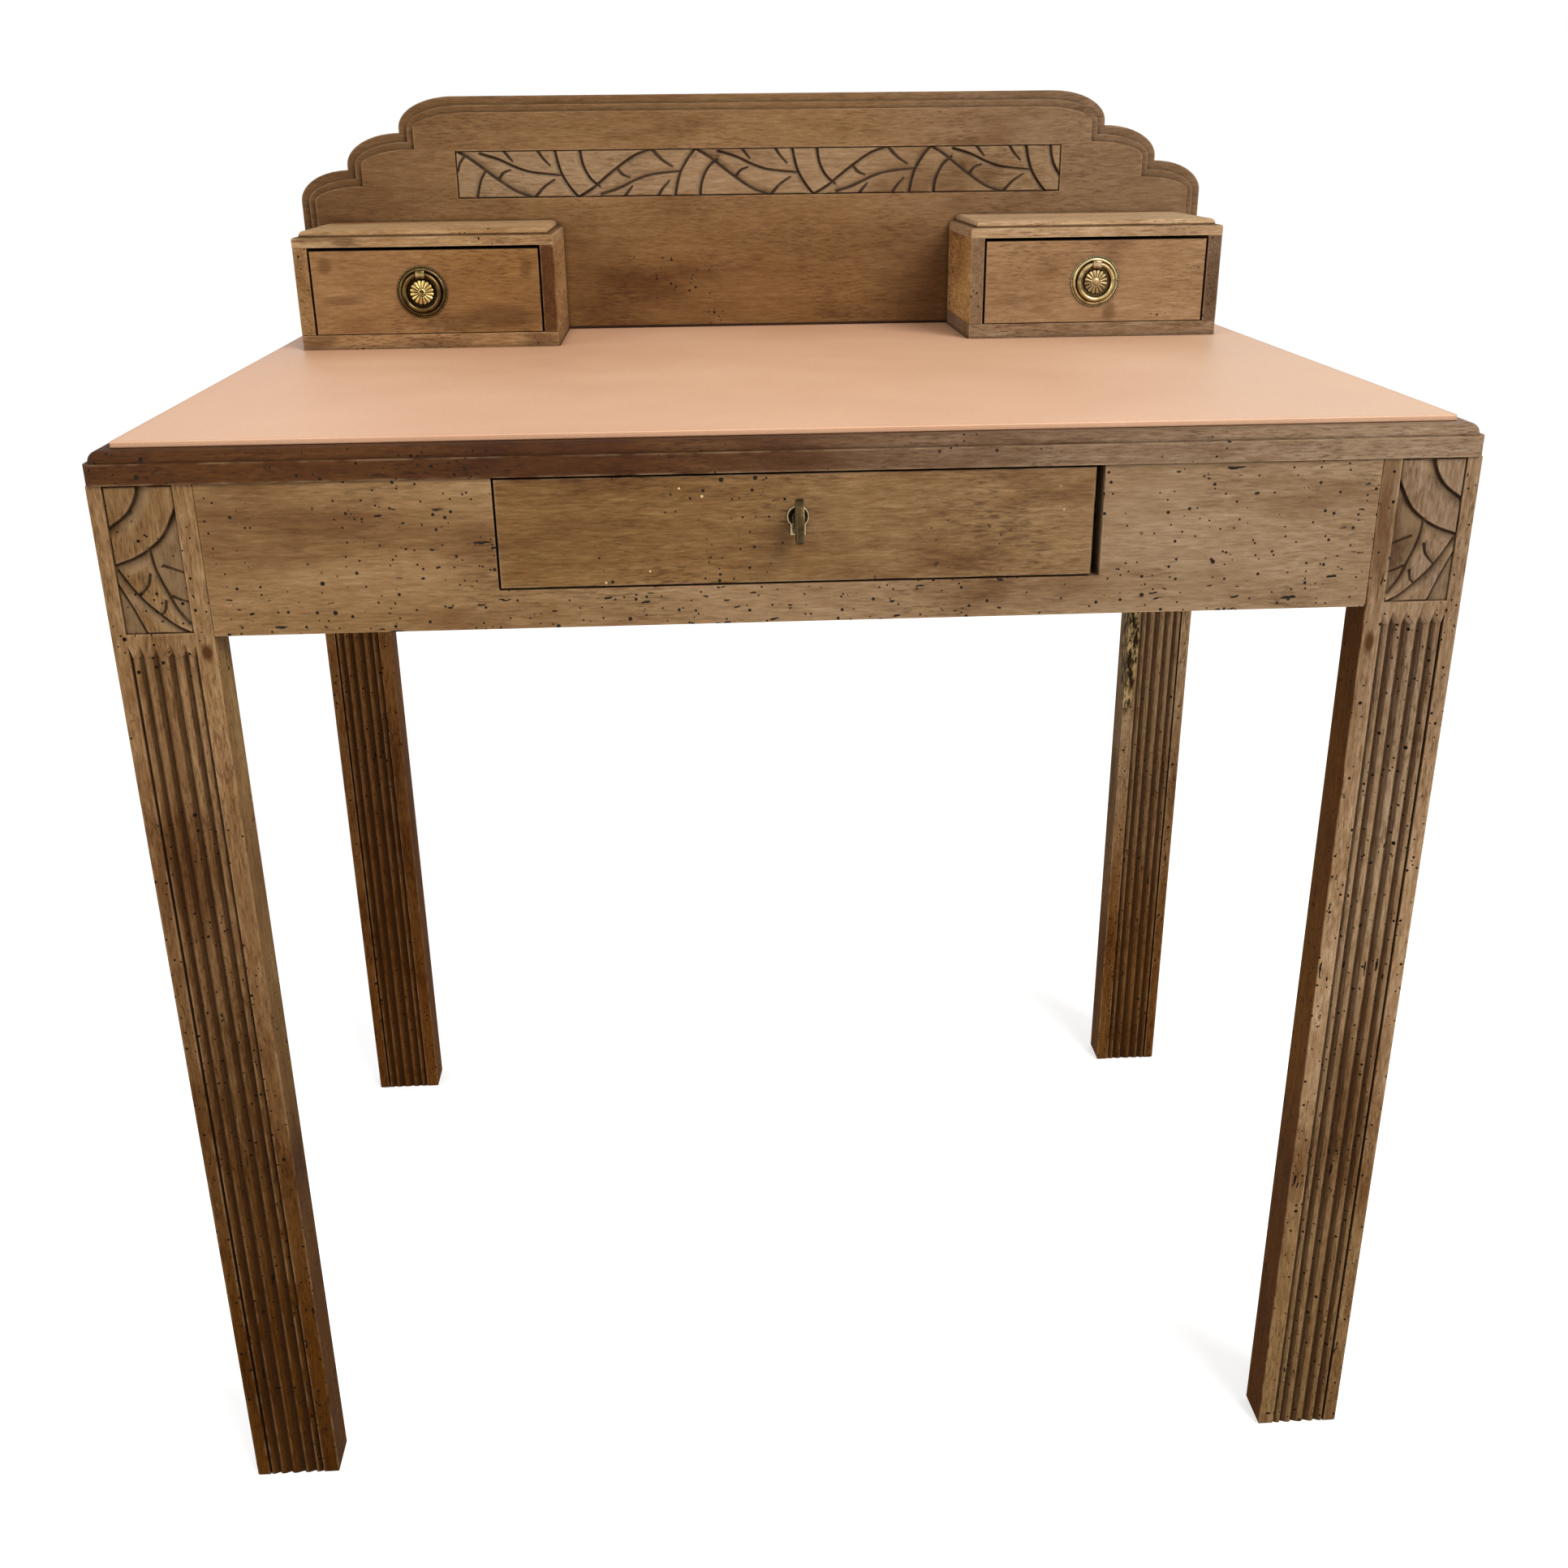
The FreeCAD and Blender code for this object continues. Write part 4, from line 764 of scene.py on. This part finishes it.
def pull(name, pierced, plate_metal, daisy_metal, ring_metal, eye_metal):
    drawer = name + "_drawer"
    low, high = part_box(name + "_pull_plate")
    x, z = (low.x + high.x) / 2 / MM, (low.z + high.z) / 2 / MM
    face = high.y / MM
    ring_y = face - RING_OUT

    def daisy(share, angle):
        return daisy_shape(share, angle, pierced)

    plate = polar_solid(name + "_beaded_plate", (x, face, z), PLATE_RINGS, BEADS * BEAD_POINTS,
                        plate_shape, 0.0, plate_metal, drawer)
    flower = polar_solid(name + "_daisy", (x, face, z), DAISY_RINGS, PETALS * PETAL_POINTS,
                         daisy, DAISY_BACK, daisy_metal, drawer)
    eye = ring_eye(name + "_ring_eye", (x, ring_y, z + RING_RADIUS), eye_metal, drawer)
    ring = hoop(name + "_hoop", (x, ring_y, z), ring_metal, name + "_pull_ring")
    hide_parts(name + "_pull_plate")
    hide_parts(name + "_pull_plate")
    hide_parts(name + "_pull_rosette")
    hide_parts(name + "_pull_ring")


# Escutcheon of the main drawer's lock, in millimetres

# Radius of the head, half width of the skirt and its drop below the key's axis
SHIELD = (6.6, 4.6, 11.0)
KEYHOLE = (2.6, 1.6, 7.4)
# The rim from the back of the edge to the sunk middle: inset, height and dark share, which in the sunk middle
# paints the key's shadow
SHIELD_RIM = ((0.0, 0.0, 0.0), (0.0, 0.95, 0.0), (0.22, 1.42, 0.0), (0.70, 1.6, 0.0), (1.15, 1.42, 0.0),
              (1.40, 0.70, 0.9))
KEYHOLE_HEIGHTS = (0.6, 0.0)
HEAD_STEPS, SKIRT_STEPS, FOOT_STEPS = 48, 10, 8


def keyhole(radius, half, drop):
    """Points round a keyhole shape: a round head over a straight skirt, the key's axis at zero."""
    meet = math.sqrt(radius ** 2 - half ** 2)
    start = math.atan2(-meet, half)
    points = []
    for k in range(HEAD_STEPS + 1):
        a = start + (math.pi - 2 * start) * k / HEAD_STEPS
        points.append((radius * math.cos(a), radius * math.sin(a)))
    for k in range(1, SKIRT_STEPS + 1):
        points.append((-half, -meet - (drop - meet) * k / SKIRT_STEPS))
    for k in range(1, FOOT_STEPS + 1):
        points.append((-half + 2 * half * k / FOOT_STEPS, -drop))
    for k in range(1, SKIRT_STEPS):
        points.append((half, -drop + (drop - meet) * k / SKIRT_STEPS))
    return points


def escutcheon(material):
    """A keyhole-shaped plate with a rounded rim and a sunk middle painted dark with the key's shadow."""
    low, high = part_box("lock_escutcheon")
    key_x, face, key_z = (low.x + high.x) / 2 / MM, high.y / MM, low.z / MM + SHIELD[2]
    loops = [(keyhole(*(size - inset for size in SHIELD)), height, dark)
             for inset, height, dark in SHIELD_RIM]
    loops += [(keyhole(*KEYHOLE), height, 1.0) for height in KEYHOLE_HEIGHTS]
    points, wax = [], []
    for outline, height, dark in loops:
        points += [(key_x + x, face - height, key_z + z) for x, z in outline]
        wax += [dark] * len(outline)
    faces = tube_faces(len(loops), len(loops[0][0]))
    plate = add_piece("keyhole_plate", in_metres(points), faces, material, "main_drawer", wax)
    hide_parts("lock_escutcheon")


# Finishes of the CAD nodes

def dress(names, material, arris=0.0, segments=2):
    """A material for nodes, with softened edges where an arris width is given."""
    for name in names:
        obj = NODES[name]
        obj.data.materials.clear()
        obj.data.materials.append(material)
        if arris:
            weld = obj.modifiers.new("weld", "WELD")
            weld.merge_threshold = 1e-6
            soften = obj.modifiers.new("arris", "BEVEL")
            soften.width = arris
            soften.segments = segments
            soften.limit_method = "ANGLE"
            soften.angle_limit = math.radians(40)
            soften.harden_normals = True


# Legs by place: the letter in the material's name, and how the wood differs. A fade is an axis, two places
# on it and their tints; a knot is a place, a size and a strength.
# The fades paint light and shade: darker towards the floor, paler and cooler on the right legs, shade on the
# inner side faces; the front legs are also darker at the head
LEGS = {
    "front_left": ("a", dict(
        seed=1.7, worm=0.95, reeds=(FRONT, 0.0020),
        fades=(("Z", 0.12, 0.71, (0.268, 0.168, 0.046), (0.97, 0.975, 1.03)),
               ("Z", 0.60, 0.635, PLAIN, (0.87, 0.87, 0.86)),
               ("X", -INNER - 0.0009, -INNER - 0.0002, PLAIN, (0.92, 0.92, 0.80))),
        knots=(((-0.3465, FRONT, 0.6275), (0.0042, 0.01, 0.0065), 0.92),))),
    "front_right": ("b", dict(
        seed=3.1, worm=0.9, reeds=(FRONT, 0.0016),
        fades=(("Z", 0.10, 0.40, (0.71, 0.72, 0.69), (1.13, 1.285, 1.66)),
               ("Z", 0.44, 0.62, PLAIN, (0.71, 0.685, 0.69)),
               ("X", INNER + 0.0002, INNER + 0.0009, (0.40, 0.24, 0.087), PLAIN)),
        knots=(((0.3467, FRONT, 0.6142), (0.0035, 0.01, 0.0085), 0.92),
               ((0.3460, FRONT, 0.690), (0.0080, 0.012, 0.060), 0.45)))),
    "back_left": ("c", dict(
        seed=4.9, worm=0.75, reeds=(BACK_LEG, 0.0016),
        fades=(("Z", 0.10, 0.66, (0.415, 0.262, 0.110), (0.855, 0.683, 0.525)),))),
    "back_right": ("d", dict(
        seed=6.3, worm=1.1, reeds=(BACK_LEG, 0.0016),
        fades=(("Z", 0.10, 0.66, (0.463, 0.340, 0.180), (1.26, 1.54, 2.10)),),
        eaten=((0.3430, BACK_LEG, 0.465), (0.0085, 0.020, 0.085)))),
}


def dress_legs():
    for place, (letter, look) in LEGS.items():
        dress(["leg_" + place], wood("waxed_wood_leg_" + letter, "Z", gloss=0.02, **look), arris=0.0006)


def dress_rails_and_top():
    # The rail grows paler and cooler towards the right: painted light from the right
    rail = wood("waxed_wood_rail", "X", 0.4, worm=1.0, worm_low=("Z", 0.668, 0.648, 0.22), calm=0.62,
                fades=[("X", -0.30, 0.30, (0.81, 0.80, 0.76), (0.88, 1.00, 1.29))])
    dress(["front_rail"], rail, arris=0.0008)
    dress(["back_rail"], wood("waxed_wood_back_rail", "X", 5.4), arris=0.0008)
    dress(["side_rail_left", "side_rail_right"], wood("waxed_wood_side_rail", "Y", 2.8), arris=0.0008)
    # The top board is dark to the left and paler and cooler to the right: painted shade and painted light
    top = wood("waxed_wood_top", "X", 2.2, worm=0.2,
               fades=[("X", -0.14, 0.40, (0.250, 0.150, 0.064), (0.81, 0.94, 1.33))])
    dress(["top_board"], top, arris=0.0005)
    dress(["writing_surface"], leathercloth(), arris=0.0008, segments=3)


def dress_backboard():
    """Painted shade darker to the left and painted light paler and cooler to the right; darker below with
    stain and painted shade; a painted shadow line along the writing surface, painted shade on the rim, and a
    darker patch low beside the right case.
    """
    board = wood("waxed_wood_backboard", "X", 3.6, worm=-0.6, worm_low=("Z", 0.83, 0.80, 0.07), calm=0.6,
                 fades=[("Z", 0.77, 0.90, (0.63, 0.53, 0.40), (0.81, 0.80, 0.79)),
                        ("Z", SHEET_TOP + 0.0016, SHEET_TOP + 0.0025, (0.12, 0.09, 0.08), PLAIN),
                        ("X", -0.33, -0.17, (0.72, 0.66, 0.61), PLAIN),
                        ("X", 0.06, 0.24, PLAIN, (0.98, 1.06, 1.33)),
                        ("Y", BOARD_FACE + 0.0009, BOARD_FACE + 0.0039, PLAIN, (0.85, 0.84, 0.83))],
                 # A darker patch low on the board beside the right case
                 knots=[((0.150, BOARD_FACE, 0.785), (0.060, 0.02, 0.050), 0.28)])
    dress(["backboard"], board, arris=0.0016, segments=3)


# Stains on the fronts of the cases: x, z, width, height, strength and how deep they go back
STAINS = {
    "left_lid": ((-0.324, 0.829, 0.014, 0.0045, 0.60, 0.02), (-0.346, 0.832, 0.022, 0.0045, 0.40, 0.03)),
    "left_bottom": ((-0.352, 0.754, 0.018, 0.0075, 0.50, 0.02), (-0.178, 0.754, 0.017, 0.0075, 0.50, 0.02),
                    (-0.265, 0.753, 0.036, 0.0045, 0.35, 0.02)),
    "left_front": ((-0.207, 0.771, 0.038, 0.013, 0.50, 0.02), (-0.250, 0.767, 0.032, 0.010, 0.40, 0.02),
                   (-0.341, 0.811, 0.007, 0.008, 0.45, 0.02), (-0.186, 0.808, 0.006, 0.010, 0.45, 0.02),
                   (-0.330, 0.785, 0.020, 0.0045, 0.40, 0.02)),
    "right_front": ((0.2765, 0.769, 0.0065, 0.012, 0.45, 0.02), (0.2760, 0.808, 0.0110, 0.020, 0.22, 0.02),
                    (0.1990, 0.778, 0.0200, 0.007, 0.25, 0.02)),
}
# A dark line of painted shade along the front of a lid, below its pale top
LID_FADES = (("Z", LID_FOOT + 0.0070, LID_FOOT + 0.0076, (0.83, 0.85, 0.88), (0.40, 0.34, 0.28)),
             ("Z", LID_FOOT + 0.0086, LID_FOOT + 0.0093, PLAIN, (2.50, 2.94, 3.57)))
# Tints of each case: its lid, its bottom, and the front edge and the faces of its inner and outer side; the
# side faces are painted lighter or darker by the way they face the light
CASES = {
    "left": dict(seed=4.4, lid=(1.60, 1.75, 1.94), bottom=(0.97, 0.95, 0.94),
                 inner=((0.31, 0.21, 0.11), (1.20, 1.20, 1.18)),
                 outer=((1.00, 1.00, 0.92), (1.26, 1.20, 1.03))),
    "right": dict(seed=8.4, lid=(1.75, 2.05, 2.64), bottom=(0.80, 0.88, 1.14),
                  inner=((0.71, 0.78, 0.98), (1.62, 1.66, 1.46)),
                  outer=((0.44, 0.46, 0.58), (1.26, 1.20, 1.03))),
}
# Where the tint of a side's front edge ends behind the front, and a drawer front's shade inside its edge
FRONT_EDGE = (0.0003, 0.0011)
GAP_EDGE = (0.0002, 0.0007)
GAP_SHADE = (0.34, 0.28, 0.22)


def stains(name):
    return [((x, CASE_FACE, z), (width, depth, height), strength)
            for x, z, width, height, strength, depth in STAINS.get(name, ())]


def dress_cases():
    for case, look in CASES.items():
        seed = look["seed"]
        lid = wood(f"waxed_wood_{case}_lid", "X", seed, look["lid"], worm=-0.2, calm=0.75, fades=LID_FADES,
                   knots=stains(case + "_lid"))
        dress([case + "_case_lid"], lid, arris=0.0006)
        bottom = wood(f"waxed_wood_{case}_bottom", "X", seed + 1.1, look["bottom"], worm=0.1,
                      knots=stains(case + "_bottom"))
        dress([case + "_case_bottom"], bottom, arris=0.0006)
        for part in ("inner", "outer"):
            fade = ("Y", CASE_FACE + FRONT_EDGE[0], CASE_FACE + FRONT_EDGE[1], *look[part])
            side = wood(f"waxed_wood_{case}_{part}_side", "Y", seed + 0.4, worm=0.1, fades=[fade])
            dress([f"{case}_case_{part}_side"], side, arris=0.0007)


def shaded_edges(node):
    """Fades for the edges of a drawer front, which lie in the dark of the gaps round it."""
    low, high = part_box(node)
    fades = []
    for axis, k in (("X", 0), ("Z", 2)):
        fades.append((axis, low[k] + GAP_EDGE[0], low[k] + GAP_EDGE[1], GAP_SHADE, PLAIN))
        fades.append((axis, high[k] - GAP_EDGE[1], high[k] - GAP_EDGE[0], PLAIN, GAP_SHADE))
    return fades


def dress_drawers():
    # The main front grows paler and cooler towards the right: painted light from the right
    main = wood("waxed_wood_drawer_front", "X", 1.2, worm=0.1, filled=True, calm=0.8,
                fades=[("X", -0.12, 0.16, (0.58, 0.51, 0.37), (0.76, 0.77, 0.79)),
                       *shaded_edges("main_drawer_front")])
    left = wood("waxed_wood_small_front_a", "X", 5.7, worm=-0.1, calm=0.6, knots=stains("left_front"),
                fades=[("X", -0.31, -0.21, (0.97, 0.93, 0.86), (0.77, 0.68, 0.50)),
                       *shaded_edges("left_drawer_front")])
    right = wood("waxed_wood_small_front_b", "X", 6.9, (0.95, 0.97, 1.09), worm=-0.2, calm=0.6,
                 knots=stains("right_front"), fades=shaded_edges("right_drawer_front"))
    lining = drawer_linings()
    for drawer, front in (("main_drawer", main), ("left_drawer", left), ("right_drawer", right)):
        box = [f"{drawer}_{part}" for part in ("side_left", "side_right", "back", "bottom")]
        dress([drawer + "_front"], front, arris=0.0007)
        dress(box, lining, arris=0.0005)
    hidden = ["drawer_runner_left", "drawer_runner_right", "drawer_stops", "corner_blocks"]
    dress(hidden, lining, arris=0.0006)
    dress(["backboard_dowels"], lining)


# Base, tarnish and worn colour, the last also a painted highlight on edges, roughness and its spread, then
# reach and the strength of tarnish and painted shade where they aren't the usual
METALS = {
    "bright_brass": ((0.56, 0.43, 0.205), (0.17, 0.12, 0.048), (0.90, 0.79, 0.52), 0.18, 0.22),
    "aged_brass": ((0.40, 0.285, 0.140), (0.20, 0.135, 0.060), (0.62, 0.49, 0.29), 0.28, 0.22, 0.003, 0.55),
    "warm_brass": ((0.36, 0.25, 0.135), (0.20, 0.13, 0.07), (0.62, 0.47, 0.29), 0.30, 0.20),
    "gilt_brass": ((0.62, 0.46, 0.165), (0.26, 0.175, 0.055), (0.95, 0.80, 0.44), 0.18, 0.20),
    "dark_bronze": ((0.135, 0.085, 0.032), (0.045, 0.027, 0.011), (0.55, 0.40, 0.17), 0.22, 0.22),
    "key_bronze": ((0.066, 0.044, 0.018), (0.024, 0.015, 0.006), (0.26, 0.19, 0.09), 0.36, 0.20),
    "escutcheon_brass": ((0.38, 0.285, 0.145), (0.17, 0.12, 0.055), (0.62, 0.51, 0.31), 0.26, 0.22, 0.003),
    "iron": ((0.32, 0.31, 0.30), (0.14, 0.12, 0.10), (0.55, 0.54, 0.52), 0.35, 0.25),
}


def dress_metal(metals):
    dress(["drawer_key"], metals["key_bronze"], arris=0.0008, segments=3)
    dress(["lock_case", "lock_bolt"], metals["iron"], arris=0.0003)
    dress(["lock_screws", "top_screws", "left_pull_post", "right_pull_post"], metals["iron"])


def add_carvings():
    leaves = wood("waxed_wood_carved", "X", 0.9, (0.97, 1.10, 1.37), worm=-0.1, carved=True, calm=0.6)
    # The left panel is darker and the right paler and cooler: painted shade and painted light from the right
    left = wood("waxed_wood_panel_left", "Z", 2.3, (0.67, 0.64, 0.60), worm=0.85, carved=True, gloss=0.03)
    right = wood("waxed_wood_panel_right", "Z", 2.9, (0.79, 0.93, 1.38), worm=0.1, carved=True, gloss=0.03)
    frieze(leaves)
    leg_panel("left", left)
    leg_panel("right", right)


def add_fittings(metals):
    """The left pull is dark bronze with a gilt, pierced daisy; the right one is bright brass."""
    bronze, bright = metals["dark_bronze"], metals["bright_brass"]
    pull("left", True, bronze, metals["gilt_brass"], bronze, bronze)
    pull("right", False, bright, metals["aged_brass"], bright, metals["warm_brass"])
    escutcheon(metals["escutcheon_brass"])


# Floor, lamps and background

FLOOR_HALF, FLOOR_GREY, FLOOR_GLOW, WORLD_LEVEL = 6.0, 0.78, 0.55, 0.55
LAMP_SIZE = 1.8
# Place, target and power of each lamp
LAMPS = {"key": ((1.5, -2.2, 2.6), (0.0, 0.0, 0.6), 95.0), "fill": ((-2.2, -2.0, 1.6), (0.0, 0.0, 0.5), 22.0)}


def seen_share(tree):
    """1 for camera, glossy and transmission rays."""
    path = tree.nodes.new("ShaderNodeLightPath")
    total = path.outputs["Is Camera Ray"]
    for name in ("Is Glossy Ray", "Is Transmission Ray"):
        add = tree.nodes.new("ShaderNodeMath")
        add.operation = "MAXIMUM"
        tree.links.new(total, add.inputs[0])
        tree.links.new(path.outputs[name], add.inputs[1])
        total = add.outputs[0]
    return total


def floor_white():
    """A pale floor that keeps the shadow and looks white to the camera."""
    material = bpy.data.materials.new("floor_white")
    material.use_nodes = True
    tree = material.node_tree
    tree.nodes.clear()
    diffuse = tree.nodes.new("ShaderNodeBsdfDiffuse")
    diffuse.inputs["Color"].default_value = (FLOOR_GREY, FLOOR_GREY, FLOOR_GREY, 1)
    glow = tree.nodes.new("ShaderNodeEmission")
    scale = tree.nodes.new("ShaderNodeMath")
    scale.operation = "MULTIPLY"
    scale.inputs[1].default_value = FLOOR_GLOW
    tree.links.new(seen_share(tree), scale.inputs[0])
    tree.links.new(scale.outputs[0], glow.inputs["Strength"])
    add = tree.nodes.new("ShaderNodeAddShader")
    out = tree.nodes.new("ShaderNodeOutputMaterial")
    tree.links.new(diffuse.outputs[0], add.inputs[0])
    tree.links.new(glow.outputs[0], add.inputs[1])
    tree.links.new(add.outputs[0], out.inputs["Surface"])
    return material


def floor():
    half = FLOOR_HALF
    mesh = bpy.data.meshes.new("floor")
    corners = [(-half, -half, 0), (half, -half, 0), (half, half, 0), (-half, half, 0)]
    mesh.from_pydata(corners, [], [(0, 1, 2, 3)])
    mesh.materials.append(floor_white())
    obj = bpy.data.objects.new("floor", mesh)
    bpy.context.scene.collection.objects.link(obj)


def world_light():
    """White to the camera, and a soft light of its own level on the table."""
    world = bpy.data.worlds.new("studio")
    bpy.context.scene.world = world
    world.use_nodes = True
    tree = world.node_tree
    background = tree.nodes["Background"]
    background.inputs["Color"].default_value = (1, 1, 1, 1)
    spread = tree.nodes.new("ShaderNodeMapRange")
    spread.inputs["To Min"].default_value = WORLD_LEVEL
    tree.links.new(seen_share(tree), spread.inputs["Value"])
    tree.links.new(spread.outputs["Result"], background.inputs["Strength"])


def lamps():
    for name, (place, target, power) in LAMPS.items():
        data = bpy.data.lights.new(name, "AREA")
        data.shape = "DISK"
        data.size = LAMP_SIZE
        data.energy = power
        obj = bpy.data.objects.new(name, data)
        obj.location = place
        obj.rotation_euler = (Vector(target) - Vector(place)).to_track_quat("-Z", "Y").to_euler()
        bpy.context.scene.collection.objects.link(obj)


bpy.context.scene.view_settings.view_transform = "Standard"
aim_camera()
metals = {name: metal(name, *look) for name, look in METALS.items()}
dress_legs()
dress_rails_and_top()
dress_backboard()
dress_cases()
dress_drawers()
dress_metal(metals)
add_carvings()
add_fittings(metals)
floor()
world_light()
lamps()
